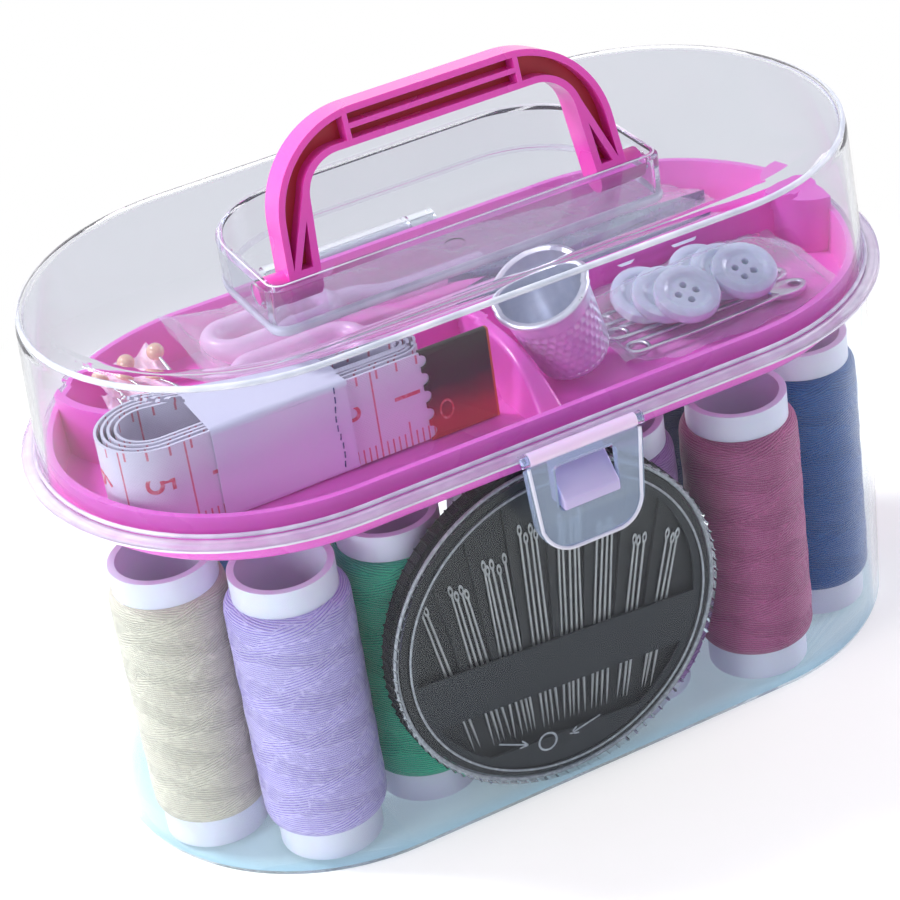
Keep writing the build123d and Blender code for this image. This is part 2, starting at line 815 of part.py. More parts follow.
with BuildPart() as needle_case_cover:
    extrude(toothed_disc(case_cover_depth), amount=case_cover_depth)
    with BuildSketch(case_plane.offset(-case_cover_depth)):
        Circle(cover_inner_radius)
    extrude(amount=case_cover_depth - case_cover_plate, mode=Mode.SUBTRACT)
    with BuildSketch(case_plane.offset(-bead_low - case_bead / 2)):
        Circle(cover_inner_radius)
        Circle(spigot_radius - case_bead / 2, mode=Mode.SUBTRACT)
    extrude(amount=case_bead)
    with BuildSketch(turned_plane):
        with Locations((0, exit_hole_z)):
            Circle(exit_hole_radius)
    extrude(amount=-case_cover_plate, mode=Mode.SUBTRACT)
finish(needle_case_cover.part, "needle_case_cover")

# Spools: an open tube with its thread round it
thread_low_z = tub_floor + thread_bottom_rise
thread_high_z = tub_floor + tube_height - thread_top_drop
for name, x, y, thread_radius in spools:
    spool_plane = Plane(origin=(x, y, 0), x_dir=(1, 0, 0), z_dir=(0, -1, 0))
    with BuildPart() as spool_tube:
        with BuildSketch(Plane.XY.offset(tub_floor)):
            with Locations((x, y)):
                Circle(tube_radius)
        extrude(amount=tube_height)
        with BuildSketch(Plane.XY.offset(tub_floor + tube_floor)):
            with Locations((x, y)):
                Circle(tube_bore_radius)
        extrude(amount=tube_height - tube_floor, mode=Mode.SUBTRACT)
    finish(spool_tube.part, f"spool_tube_{name}")

    with BuildPart() as thread:
        with BuildSketch(spool_plane):
            with BuildLine():
                Polyline(
                    (tube_radius, thread_low_z),
                    (tube_radius + thread_neck, thread_low_z),
                    (thread_radius, thread_low_z + thread_shoulder),
                    (thread_radius, thread_high_z - thread_shoulder),
                    (tube_radius + thread_neck, thread_high_z),
                    (tube_radius, thread_high_z),
                    close=True,
                )
            make_face()
        revolve(axis=Axis((x, y, 0), (0, 0, 1)))
    finish(thread.part, f"thread_{name}")

# Tape measure: half turns at each end, joined by their outer tangents
tape_low_z = tray_floor_z + tray_wall + band_thickness + band_gap + running_gap
tape_points = []
with BuildPart() as tape_measure:
    with BuildSketch(Plane.XY.offset(tape_low_z)):
        with BuildLine() as tape_path:
            start = (tape_tip_x - tape_tip_length + tape_tip_lap, tape_front_y)
            for turn in range(tape_turns):
                front_y = tape_front_y + turn * tape_pitch
                next_front_y = front_y + tape_pitch
                left_radius = tape_left_radius - turn * tape_pitch
                right_radius = tape_right_radius - (turn + 0.5) * tape_pitch
                left_y = front_y + left_radius
                right_y = next_front_y + right_radius
                between = hypot(tape_right_x - tape_left_x, right_y - left_y)
                tilt = atan2(right_y - left_y, tape_right_x - tape_left_x)
                normal = tilt + acos((left_radius - right_radius) / between)
                left_end = (
                    tape_left_x + left_radius * cos(normal),
                    left_y + left_radius * sin(normal),
                )
                right_start = (
                    tape_right_x + right_radius * cos(normal),
                    right_y + right_radius * sin(normal),
                )
                half_left = (normal + 1.5 * pi) / 2
                half_right = (normal - 0.5 * pi) / 2
                Line(start, (tape_left_x, front_y))
                ThreePointArc(
                    (tape_left_x, front_y),
                    (
                        tape_left_x + left_radius * cos(half_left),
                        left_y + left_radius * sin(half_left),
                    ),
                    left_end,
                )
                Line(left_end, right_start)
                ThreePointArc(
                    right_start,
                    (
                        tape_right_x + right_radius * cos(half_right),
                        right_y + right_radius * sin(half_right),
                    ),
                    (tape_right_x, next_front_y),
                )
                start = (tape_right_x, next_front_y)
        trace(tape_path.line, line_width=tape_thickness)
    extrude(amount=tape_width)
finish(tape_measure.part, "tape_measure")

# End piece folded over the tape's end, with a scalloped edge
tip_left_x = tape_tip_x - tape_tip_length
with BuildPart() as tape_tip:
    with BuildSketch(Plane.XZ.offset(-tape_front_y - tape_tip_thickness / 2)) as tip_face:
        tip_mid_z = tape_low_z + tape_width / 2
        with Locations(((tape_tip_x + tip_left_x) / 2, tip_mid_z)):
            Rectangle(tape_tip_length, tape_width + 2 * tape_tip_edge)
        scallop_pitch = (tape_width + 2 * tape_tip_edge) / scallops
        with Locations((tip_left_x, tip_mid_z)):
            with GridLocations(0, scallop_pitch, 1, scallops):
                Circle(scallop_pitch / 3, mode=Mode.SUBTRACT)
    extrude(amount=tape_tip_thickness)
    with BuildSketch(Plane.XY.offset(tape_low_z - tape_fit)):
        with Locations((tip_left_x + tape_tip_lap / 2, tape_front_y)):
            Rectangle(tape_tip_lap + 2 * tape_fit, tape_thickness + 2 * tape_fit)
    extrude(amount=tape_width + 2 * tape_fit, mode=Mode.SUBTRACT)
finish(tape_tip.part, "tape_tip")

# Paper band round the wound tape
back_slope = 2 * (tape_left_radius - tape_right_radius) / (tape_right_x - tape_left_x)


def back_y(x):
    return tape_front_y + 2 * tape_left_radius - (x - tape_left_x) * back_slope + tape_thickness


def band_prism(spread, overhang):
    low_y = tape_front_y - tape_thickness / 2 - spread
    with BuildSketch(Plane.XY.offset(tape_low_z - spread)) as plan:
        with BuildLine():
            Polyline(
                (band_left_x - overhang, low_y),
                (band_right_x + overhang, low_y),
                (band_right_x + overhang, back_y(band_right_x + overhang) + spread),
                (band_left_x - overhang, back_y(band_left_x - overhang) + spread),
                close=True,
            )
        make_face()
    return plan.sketch


with BuildPart() as tape_band:
    outer_spread = band_gap + band_thickness
    extrude(band_prism(outer_spread, 0), amount=tape_width + 2 * outer_spread)
    extrude(band_prism(band_gap, 1), amount=tape_width + 2 * band_gap, mode=Mode.SUBTRACT)
finish(tape_band.part, "tape_band")

# Thimble: closed end down, leaning on the cross rib
thimble_z = tray_floor_z + tray_wall + small_gap + thimble_crown_radius * sin(radians(thimble_lean))
thimble_heading = Vector(cos(radians(thimble_turn)), sin(radians(thimble_turn)), 0)
thimble_axis = thimble_heading * sin(radians(thimble_lean)) + Vector(0, 0, cos(radians(thimble_lean)))
thimble_side = thimble_heading * cos(radians(thimble_lean)) - Vector(0, 0, sin(radians(thimble_lean)))
thimble_frame = Plane(
    origin=(thimble_x, thimble_y, thimble_z),
    x_dir=thimble_side,
    z_dir=thimble_side.cross(thimble_axis),
)
with BuildPart() as thimble:
    with BuildSketch(thimble_frame):
        with BuildLine():
            Polyline(
                (0, 0),
                (thimble_crown_radius - thimble_crown_round, 0),
                (thimble_crown_radius, thimble_crown_round),
                (thimble_mouth_radius, thimble_height - 2 * thimble_rim_bead),
                (thimble_rim_radius, thimble_height - 2 * thimble_rim_bead),
                (thimble_rim_radius, thimble_height),
                (thimble_mouth_radius - thimble_wall, thimble_height),
                (thimble_crown_radius - thimble_wall, thimble_crown_round),
                (thimble_crown_radius - thimble_crown_round - thimble_wall, thimble_wall),
                (0, thimble_wall),
                close=True,
            )
        make_face()
    revolve(axis=Axis(thimble_frame.origin, thimble_frame.y_dir))
finish(thimble.part, "thimble")

# Shirt buttons: dished discs with four holes, in leaning stacks
button_z = tray_floor_z + tray_wall + button_rise
with BuildPart() as shirt_buttons:
    for x, y in button_stacks:
        stack_plane = Plane(
            origin=(x, y, button_z),
            x_dir=(1, 0, 0),
            z_dir=(0, -sin(radians(button_lean)), cos(radians(button_lean))),
        )
        for layer in range(button_layers):
            layer_plane = stack_plane.offset(-layer * button_layer_pitch)
            with BuildSketch(layer_plane):
                with Locations((layer * button_slip_x, layer * button_slip_up)):
                    Circle(button_radius)
                    with GridLocations(2 * button_hole_offset, 2 * button_hole_offset, 2, 2):
                        Circle(button_hole_radius, mode=Mode.SUBTRACT)
            extrude(amount=button_thickness)
            with BuildSketch(layer_plane.offset(button_thickness)):
                with Locations((layer * button_slip_x, layer * button_slip_up)):
                    Circle(button_dish_radius)
            extrude(amount=-button_dish_depth, mode=Mode.SUBTRACT)
finish(shirt_buttons.part, "buttons")

# Film bag round the buttons and the safety pins
bag_low_z = tray_floor_z + tray_wall + film_gap
bag_mid_x = (bag_left_x + bag_right_x) / 2
bag_mid_y = (bag_front_y + bag_rear_y) / 2
with BuildPart() as button_bag:
    with BuildSketch(Plane.XY.offset(bag_low_z)):
        with Locations((bag_mid_x, bag_mid_y)):
            Rectangle(bag_right_x - bag_left_x, bag_rear_y - bag_front_y)
    extrude(amount=bag_height)
    fillet(button_bag.edges(), radius=bag_fillet)
    offset(amount=-bag_wall, mode=Mode.SUBTRACT)
finish(button_bag.part, "button_bag")

# Safety pins: bent wire with a folded cap at one end
pins_low_z = bag_low_z + bag_wall + running_gap
with BuildPart() as safety_pins:
    for x, y, turn in safety_pins_at:
        pin_place = Location((x, y, pins_low_z), turn)
        with BuildSketch(Plane(pin_place)):
            SlotCenterToCenter(safety_pin_length - safety_pin_width, safety_pin_width)
            SlotCenterToCenter(
                safety_pin_length - safety_pin_width,
                safety_pin_width - 2 * safety_pin_wire,
                mode=Mode.SUBTRACT,
            )
            with Locations((safety_pin_length / 2 - safety_pin_cap / 2, 0)):
                RectangleRounded(safety_pin_cap, safety_pin_width, safety_pin_wire)
        extrude(amount=safety_pin_wire)
finish(safety_pins.part, "safety_pins")

# Scissors: two blades on a rivet, each with its looped grip
blade_tip_x = scissor_pivot_x + blade_length
tang_end_x = scissor_pivot_x - tang_length
grip_loop_y = grip_loop_width / 2 + small_gap / 2
grip_loop_x = scissor_pivot_x - grip_left + grip_loop_length / 2


def blade_at(z, side, spread):
    half = blade_width / 2
    with BuildSketch(Plane.XY.offset(z)) as outline:
        with Locations((scissor_pivot_x, scissor_pivot_y)):
            Circle(half + spread)
        with BuildLine():
            Polyline(
                (blade_tip_x, scissor_pivot_y),
                (scissor_pivot_x, scissor_pivot_y + half + spread),
                (scissor_pivot_x, scissor_pivot_y - half - spread),
                close=True,
            )
        make_face()
        with BuildLine():
            Polyline(
                (scissor_pivot_x, scissor_pivot_y + side * (half + spread)),
                (tang_end_x - spread, scissor_pivot_y + side * (tang_offset + tang_width / 2 + spread)),
                (tang_end_x - spread, scissor_pivot_y + side * (tang_offset - tang_width / 2 - spread)),
                (scissor_pivot_x, scissor_pivot_y - side * (half + spread)),
                close=True,
            )
        make_face()
    return outline.sketch


sleeve_low_z = tray_floor_z + tray_wall + film_gap
scissor_low_z = sleeve_low_z + sleeve_wall + scissor_rise
rivet_low_z = scissor_low_z - small_gap / 2
blade_top_z = scissor_low_z + 2 * blade_thickness + blade_gap
for side, name in ((-1, "left"), (1, "right")):
    blade_z = scissor_low_z + (side + 1) / 2 * (blade_thickness + blade_gap)
    grip_z = blade_z + blade_thickness / 2 - grip_thickness / 2
    with BuildPart() as blade:
        extrude(blade_at(blade_z, side, 0), amount=blade_thickness)
        with BuildSketch(Plane.XY.offset(blade_z)):
            with Locations((scissor_pivot_x, scissor_pivot_y)):
                Circle(rivet_radius + running_gap)
        extrude(amount=blade_thickness, mode=Mode.SUBTRACT)
    finish(blade.part, f"scissor_blade_{name}")

    with BuildPart() as grip:
        with BuildSketch(Plane.XY.offset(grip_z)):
            with Locations((grip_loop_x, scissor_pivot_y + side * grip_loop_y)):
                SlotCenterToCenter(grip_loop_length - grip_loop_width, grip_loop_width)
            with BuildLine():
                arm_start_x = grip_loop_x + grip_loop_length / 2 - grip_wall
                arm_end_x = scissor_pivot_x - blade_width
                start_y = scissor_pivot_y + side * grip_loop_y
                end_y = scissor_pivot_y + side * tang_offset
                Polyline(
                    (arm_start_x, start_y + grip_arm_width / 2),
                    (arm_end_x, end_y + grip_arm_width / 2),
                    (arm_end_x, end_y - grip_arm_width / 2),
                    (arm_start_x, start_y - grip_arm_width / 2),
                    close=True,
                )
            make_face()
            with Locations((grip_loop_x, scissor_pivot_y + side * grip_loop_y)):
                SlotCenterToCenter(
                    grip_loop_length - grip_loop_width,
                    grip_loop_width - 2 * grip_wall,
                    mode=Mode.SUBTRACT,
                )
        extrude(amount=grip_thickness)
        extrude(blade_at(blade_z, side, running_gap / 2), amount=blade_thickness, mode=Mode.SUBTRACT)
    finish(grip.part, f"scissor_grip_{name}")

with BuildPart() as scissor_rivet:
    with BuildSketch(Plane.XY.offset(rivet_low_z - rivet_head)):
        with Locations((scissor_pivot_x, scissor_pivot_y)):
            Circle(rivet_head_radius)
    extrude(amount=rivet_head)
    with BuildSketch(Plane.XY.offset(rivet_low_z)):
        with Locations((scissor_pivot_x, scissor_pivot_y)):
            Circle(rivet_radius)
    extrude(amount=blade_top_z - rivet_low_z + small_gap / 2)
    with BuildSketch(Plane.XY.offset(blade_top_z + small_gap / 2)):
        with Locations((scissor_pivot_x, scissor_pivot_y)):
            Circle(rivet_head_radius)
    extrude(amount=rivet_head)
finish(scissor_rivet.part, "scissor_rivet")

# Film sleeve round the scissors, its far corner folded to the tray's round end
with BuildPart() as scissors_sleeve:
    with BuildSketch(Plane.XY.offset(sleeve_low_z)):
        with BuildLine():
            Polyline(
                (sleeve_left_x, sleeve_front_y),
                (sleeve_right_x, sleeve_front_y),
                (sleeve_right_x, sleeve_right_rear_y),
                (sleeve_bend_x, sleeve_rear_y),
                (sleeve_left_x, sleeve_rear_y),
                close=True,
            )
        make_face()
    extrude(amount=sleeve_height)
    fillet(scissors_sleeve.edges().filter_by(Axis.Z), radius=sleeve_fillet)
    offset(amount=-sleeve_wall, mode=Mode.SUBTRACT)
finish(scissors_sleeve.part, "scissors_sleeve")

# Card with three pearl-headed pins, leaning at the left end
card_plane = Plane(
    origin=(pin_card_x, pin_card_y, tray_floor_z + tray_wall + pin_card_rise),
    x_dir=pin_card_along,
    z_dir=pin_card_tilt,
)
with BuildPart() as thread_card:
    with BuildSketch(card_plane):
        RectangleRounded(pin_card_width, pin_card_length, pearl_radius)
    extrude(amount=-pin_card_thickness)
finish(thread_card.part, "thread_card")

with BuildPart() as pearl_pins_group:
    with Locations(card_plane.offset(pearl_radius + running_gap)):
        with GridLocations(pearl_pin_pitch, 0, pearl_pins, 1):
            with Locations(Location((0, -pearl_pin_length / 2, 0), (1, 0, 0), -90)):
                Cylinder(pearl_pin_radius, pearl_pin_length, align=(Align.CENTER, Align.CENTER, Align.MIN))
                Sphere(pearl_radius)
finish(pearl_pins_group.part, "pearl_pins")
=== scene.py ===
import json
import random
from math import acos, atan2, cos, hypot, pi, radians, sin

import bpy
from mathutils import Matrix, Vector, noise

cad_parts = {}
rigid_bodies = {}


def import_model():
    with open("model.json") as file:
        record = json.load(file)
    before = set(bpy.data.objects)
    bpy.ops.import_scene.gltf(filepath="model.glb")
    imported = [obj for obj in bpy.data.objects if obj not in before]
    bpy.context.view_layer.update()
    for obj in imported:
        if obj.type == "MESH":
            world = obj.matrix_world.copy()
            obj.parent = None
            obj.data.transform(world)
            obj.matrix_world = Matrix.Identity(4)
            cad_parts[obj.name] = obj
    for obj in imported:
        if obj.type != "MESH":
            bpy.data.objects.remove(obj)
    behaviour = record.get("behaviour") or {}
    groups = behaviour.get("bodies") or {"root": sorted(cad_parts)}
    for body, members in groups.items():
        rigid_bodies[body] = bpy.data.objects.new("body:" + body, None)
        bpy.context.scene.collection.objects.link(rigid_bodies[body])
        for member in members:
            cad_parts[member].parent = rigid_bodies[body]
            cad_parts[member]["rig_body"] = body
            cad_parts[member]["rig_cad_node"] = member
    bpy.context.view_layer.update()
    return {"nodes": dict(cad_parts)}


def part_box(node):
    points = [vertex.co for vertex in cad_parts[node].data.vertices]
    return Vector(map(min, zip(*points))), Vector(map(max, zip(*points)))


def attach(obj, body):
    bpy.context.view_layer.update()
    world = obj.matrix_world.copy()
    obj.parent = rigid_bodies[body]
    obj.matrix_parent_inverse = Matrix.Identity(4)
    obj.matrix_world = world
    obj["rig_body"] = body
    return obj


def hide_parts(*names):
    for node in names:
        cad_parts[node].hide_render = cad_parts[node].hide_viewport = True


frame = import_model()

nodes = frame["nodes"]
mm = 0.001
white = (1, 1, 1, 1)

# Small helpers for modelling

def deselectAll():
    if bpy.context.object and bpy.context.object.mode != "OBJECT":
        bpy.ops.object.mode_set(mode="OBJECT")
    bpy.ops.object.select_all(action="DESELECT")


def pick(piece):
    deselectAll()
    piece.select_set(True)
    bpy.context.view_layer.objects.active = piece
    return piece


def added(name):
    # the object that the last primitive operator made
    piece = bpy.context.object
    piece.name = name
    piece.data.name = name
    return piece


def joined(pieces, name):
    deselectAll()
    for piece in pieces:
        piece.select_set(True)
    bpy.context.view_layer.objects.active = pieces[0]
    if len(pieces) > 1:
        bpy.ops.object.join()
    return added(name)


def modified(piece, kind, **settings):
    # one modifier with these settings, applied
    change = piece.modifiers.new(kind.lower(), kind)
    for key, value in settings.items():
        setattr(change, key, value)
    pick(piece)
    bpy.ops.object.modifier_apply(modifier=change.name)
    return piece


def bevelled(piece, width, segments=2, angle=35, **more):
    return modified(piece, "BEVEL", width=width, segments=segments, limit_method="ANGLE",
                    angle_limit=radians(angle), **more)


def settled(piece, smooth=35):
    # the place goes into the mesh, and edges over the angle stay sharp
    pick(piece)
    bpy.ops.object.transform_apply(location=True, rotation=True, scale=True)
    bpy.ops.object.shade_smooth_by_angle(angle=radians(smooth))
    return piece


def edited(piece, merge=1e-6, outwards=True, flatten=None):
    # edit mode on the whole mesh: flat faces made one, points merged, faces turned outwards
    pick(piece)
    bpy.ops.object.mode_set(mode="EDIT")
    bpy.ops.mesh.select_all(action="SELECT")
    if flatten:
        bpy.ops.mesh.dissolve_limited(angle_limit=radians(flatten))
    if merge:
        bpy.ops.mesh.remove_doubles(threshold=merge)
    if outwards:
        bpy.ops.mesh.normals_make_consistent(inside=False)
    bpy.ops.object.mode_set(mode="OBJECT")
    return piece


def placed(piece, body, look, slot=None, stands=()):
    piece.data.materials.clear()
    piece.data.materials.append(look)
    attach(piece, body)
    if stands:
        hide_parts(*stands)
    return piece


def twin(piece):
    # a copy with its own mesh
    copy = piece.copy()
    copy.data = piece.data.copy()
    bpy.context.scene.collection.objects.link(copy)
    return copy


def copied(nodeName, name):
    # a merged copy of a CAD node, to be given finer edges
    piece = twin(nodes[nodeName])
    piece.parent = None
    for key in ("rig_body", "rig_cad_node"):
        if key in piece:
            del piece[key]
    piece.name = name
    piece.data.name = name
    pick(piece)
    if piece.data.has_custom_normals:
        bpy.ops.mesh.customdata_custom_splitnormals_clear()
    return edited(piece, outwards=False)


def ringAdded(name, radius, wire, around, sides):
    bpy.ops.mesh.primitive_torus_add(major_radius=radius, minor_radius=wire, major_segments=around,
                                     minor_segments=sides)
    return added(name)


def drilled(piece, radius, at, sides, depth=4 * mm):
    # a round hole down through the piece
    bpy.ops.mesh.primitive_cylinder_add(vertices=sides, radius=radius, depth=depth, location=at)
    drill = settled(added("drill"))
    modified(piece, "BOOLEAN", operation="DIFFERENCE", object=drill)
    bpy.data.objects.remove(drill)


def wrapped(name, across, along, shape):
    # a grid laid on a surface: shape(u, v) gives each point its place
    bpy.ops.mesh.primitive_grid_add(x_subdivisions=across, y_subdivisions=along, size=1)
    piece = added(name)
    for point in piece.data.vertices:
        point.co = shape(point.co.x + 0.5, point.co.y + 0.5)
    return edited(piece)


def between(first, last, share):
    return first + (last - first) * share


def within(value, least=0.0, most=1.0):
    return min(most, max(least, value))


def reachOf(points):
    # how far along a line of (x, y) points each one is
    reach = [0.0]
    for first, second in zip(points, points[1:]):
        reach.append(reach[-1] + hypot(second[0] - first[0], second[1] - first[1]))
    return reach


def stretchAt(reach, along, slack=0.0):
    # the stretch of a line that a place falls in, and its share of that stretch
    index = 1
    while reach[index] < along - slack and index < len(reach) - 1:
        index += 1
    return index, (along - reach[index - 1]) / (reach[index] - reach[index - 1])


def smoothPath(points, steps=6):
    # a smooth line through the points
    count = len(points)
    made = []
    for index in range(count - 1):
        before, start, end, after = (Vector(points[min(max(index + k, 0), count - 1)]) for k in (-1, 0, 1, 2))
        for part in range(steps):
            t = part / steps
            made.append(0.5 * (2 * start + (end - before) * t
                               + (2 * before - 5 * start + 4 * end - after) * t ** 2
                               + (3 * start - before - 3 * end + after) * t ** 3))
    made.append(Vector(points[-1]))
    return made


def barAlong(name, points, width, height=None, sides=10, closed=False, taper=None):
    # a round or flattened bar swept along points; open ends are closed flat
    points = [Vector(point) for point in points]
    sizes = [1.0] * len(points) if taper is None else list(taper)
    height = height or width
    if not closed:
        points = [points[0]] + points + [points[-1]]
        sizes = [0.0] + sizes + [0.0]
    count = len(points)
    rows = count if closed else count - 1

    def shape(u, v):
        index = round(v * rows) % count
        if closed:
            way = points[(index + 1) % count] - points[index - 1]
        else:
            way = points[min(index + 2, count - 1)] - points[max(index - 2, 0)]
        across = way.cross(Vector((0, 0, 1)))
        across = across.normalized() if across.length > 1e-9 else Vector((1, 0, 0))
        up = across.cross(way).normalized()
        angle = 2 * pi * u
        return points[index] + sizes[index] * (across * width / 2 * cos(angle) + up * height / 2 * sin(angle))

    return wrapped(name, sides, rows, shape)


# Shader building

def feed(tree, target, values):
    # each named or numbered input gets a link or a plain value
    for key, value in values.items():
        if isinstance(value, bpy.types.NodeSocket):
            tree.links.new(value, target.inputs[key])
        else:
            target.inputs[key].default_value = value
    return target


def node(tree, kind, values=None, **settings):
    made = tree.nodes.new(kind)
    for key, value in settings.items():
        setattr(made, key, value)
    return feed(tree, made, values or {})


def maths(tree, operation, first, second=0.0, third=0.0, clamp=False):
    return node(tree, "ShaderNodeMath", {0: first, 1: second, 2: third}, operation=operation,
                use_clamp=clamp).outputs[0]


def blendColour(tree, share, first, second):
    return node(tree, "ShaderNodeMix", {0: share, 6: first, 7: second}, data_type="RGBA").outputs[2]


def blendShader(tree, share, first, second, end="Material Output"):
    join = node(tree, "ShaderNodeMixShader", {0: share, 1: first.outputs[0], 2: second.outputs[0]})
    tree.links.new(join.outputs[0], tree.nodes[end].inputs["Surface"])


def ramp(tree, factor, stops):
    stops = list(stops)
    made = node(tree, "ShaderNodeValToRGB", {0: factor})
    while len(made.color_ramp.elements) < len(stops):
        made.color_ramp.elements.new(0.5)
    for element, (at, colour) in zip(made.color_ramp.elements, stops):
        element.position = at
        element.color = colour
    return made.outputs[0]


def spread(tree, value, *limits, smooth=False):
    # maps the first pair of limits onto 0 to 1, or onto the second pair
    values = {0: value, **{place + 1: limit for place, limit in enumerate(limits)}}
    way = "SMOOTHSTEP" if smooth else "LINEAR"
    return node(tree, "ShaderNodeMapRange", values, interpolation_type=way).outputs[0]


def place(tree, kind="Object"):
    return tree.nodes.new("ShaderNodeTexCoord").outputs[kind]


def parts(tree, vector):
    return node(tree, "ShaderNodeSeparateXYZ", {0: vector}).outputs


def speckle(tree, scale, detail, at=None):
    vector = place(tree) if at is None else at
    return node(tree, "ShaderNodeTexNoise", {"Vector": vector, "Scale": scale, "Detail": detail}).outputs[0]


def bumped(tree, strength, depth, height):
    values = {"Strength": strength, "Distance": depth, "Height": height}
    return node(tree, "ShaderNodeBump", values).outputs[0]


def openFilm(tree, colour=white):
    return node(tree, "ShaderNodeBsdfTransparent", {"Color": colour})


def seenRays(tree):
    # 1 for what the camera sees, straight, mirrored or through clear plastic
    rays = tree.nodes.new("ShaderNodeLightPath")
    seen = maths(tree, "MAXIMUM", rays.outputs["Is Camera Ray"], rays.outputs["Is Transmission Ray"])
    return maths(tree, "MAXIMUM", seen, rays.outputs["Is Glossy Ray"])


def material(name):
    made = bpy.data.materials.new(name)
    made.use_nodes = True
    return made, made.node_tree, made.node_tree.nodes["Principled BSDF"]


def shaderGroup(name, inputs):
    tree = bpy.data.node_groups.new(name, "ShaderNodeTree")
    for label, kind, value in inputs:
        socket = tree.interface.new_socket(label, in_out="INPUT", socket_type="NodeSocket" + kind)
        socket.default_value = value
    for label, kind in (("Color", "Color"), ("Roughness", "Float"), ("Normal", "Vector")):
        tree.interface.new_socket(label, in_out="OUTPUT", socket_type="NodeSocket" + kind)
    return tree, tree.nodes.new("NodeGroupInput"), tree.nodes.new("NodeGroupOutput")


def groupMaterial(name, group, values):
    # a material whose shader takes colour, roughness and normal from a shared group
    made, tree, shader = material(name)
    skin = node(tree, "ShaderNodeGroup", {"Place": place(tree), **values}, node_tree=group)
    feed(tree, shader, {"Base Color": skin.outputs["Color"], "Roughness": skin.outputs["Roughness"],
                        "Normal": skin.outputs["Normal"]})
    return made, tree, shader, skin


skinInputs = [("Place", "Vector", (0, 0, 0)), ("Color", "Color", white),
              ("Shade", "Color", (0.8, 0.8, 0.8, 1)), ("Roughness", "Float", 0.3), ("Relief", "Float", 0.1)]
skinLook = {"broad": (60, 2), "fine": (1500, 3), "shade": (1.2, -0.3), "gloss": 0.12, "fineShare": 0.25,
            "depth": 0.4 * mm}
wearLook = {"patches": (45, 3), "hazeShare": 0.8, "streakTurn": (0.3, 0.9, 0.4),
            "streakScale": (40, 900, 900), "rubs": (1, 2), "rubStart": 0.66, "rubGain": 4.0,
            "rubRough": 0.15, "flow": (110, 1), "depth": 0.4 * mm}


def buildMouldedSkin():
    # moulded plastic: faint flow shading, fine relief, soft change of gloss
    look = skinLook
    tree, given, out = shaderGroup("mouldedSkin", skinInputs)
    given = given.outputs
    broad = speckle(tree, *look["broad"], given["Place"])
    fine = speckle(tree, *look["fine"], given["Place"])
    share = maths(tree, "MULTIPLY_ADD", broad, *look["shade"], clamp=True)
    dull = maths(tree, "SUBTRACT", given["Roughness"], look["gloss"] / 2)
    height = maths(tree, "ADD", maths(tree, "MULTIPLY", fine, look["fineShare"]), broad)
    feed(tree, out, {"Color": blendColour(tree, share, given["Color"], given["Shade"]),
                     "Roughness": maths(tree, "MULTIPLY_ADD", broad, look["gloss"], dull),
                     "Normal": bumped(tree, given["Relief"], look["depth"], height)})
    return tree


def buildClearWear():
    # clear plastic: hazy patches and thin rubs that catch the light
    look = wearLook
    tree, given, out = shaderGroup("clearWear", skinInputs)
    given = given.outputs
    haze = maths(tree, "MULTIPLY", speckle(tree, *look["patches"], given["Place"]), look["hazeShare"])
    streaks = node(tree, "ShaderNodeMapping", {"Vector": given["Place"], "Rotation": look["streakTurn"],
                                               "Scale": look["streakScale"]}).outputs[0]
    rubs = maths(tree, "SUBTRACT", speckle(tree, *look["rubs"], streaks), look["rubStart"], clamp=True)
    thin = maths(tree, "MULTIPLY", rubs, look["rubGain"], clamp=True)
    rough = maths(tree, "ADD", given["Roughness"], maths(tree, "MULTIPLY", thin, look["rubRough"]))
    flow = speckle(tree, *look["flow"], given["Place"])
    feed(tree, out, {"Color": blendColour(tree, haze, given["Color"], given["Shade"]), "Roughness": rough,
                     "Normal": bumped(tree, given["Relief"], look["depth"], flow)})
    return tree


mouldedSkin = buildMouldedSkin()
clearWear = buildClearWear()
plasticDefaults = {"shine": 0.5, "coat": 0, "coatRough": 0.12, "glow": 0, "glowColour": (1.0, 0.35, 0.7),
                   "glowDepth": 1.5 * mm}
clearDefaults = {"sheen": 0, "sheenRough": 0.35}
metalDefaults = {"metal": 1, "detail": 4, "stops": (0.3, 0.7), "gloss": 0.12, "depth": 0.2 * mm}


def skinValues(look):
    return {"Color": look["colour"], "Shade": look["shade"], "Roughness": look["rough"],
            "Relief": look["relief"]}


def opaquePlastic(name, look):
    look = {**plasticDefaults, **look}
    made, tree, shader, skin = groupMaterial(name, mouldedSkin, skinValues(look))
    feed(tree, shader, {"Specular IOR Level": look["shine"], "Coat Weight": look["coat"],
                        "Coat Roughness": look["coatRough"], "Subsurface Weight": look["glow"],
                        "Subsurface Radius": look["glowColour"], "Subsurface Scale": look["glowDepth"]})
    return made


def clearPlastic(name, look):
    look = {**clearDefaults, **look}
    made, tree, shader, skin = groupMaterial(name, clearWear, skinValues(look))
    if "foot" in look:
        # painted shade: the tub's floor is given a darker, bluer colour than its walls, where less light
        # gathers
        rise = spread(tree, parts(tree, place(tree))[2], *look["footShadeRise"])
        feed(tree, shader, {"Base Color": blendColour(tree, rise, look["foot"], skin.outputs["Color"])})
    feed(tree, shader, {"Transmission Weight": look["clear"], "IOR": look["bend"],
                        "Sheen Weight": look["sheen"], "Sheen Roughness": look["sheenRough"]})
    # lamp light passes, so that what is inside stays lit
    rays = tree.nodes.new("ShaderNodeLightPath")
    lampRays = maths(tree, "MAXIMUM", rays.outputs["Is Shadow Ray"], rays.outputs["Is Diffuse Ray"])
    blendShader(tree, lampRays, shader, openFilm(tree, look["colour"]))
    return made


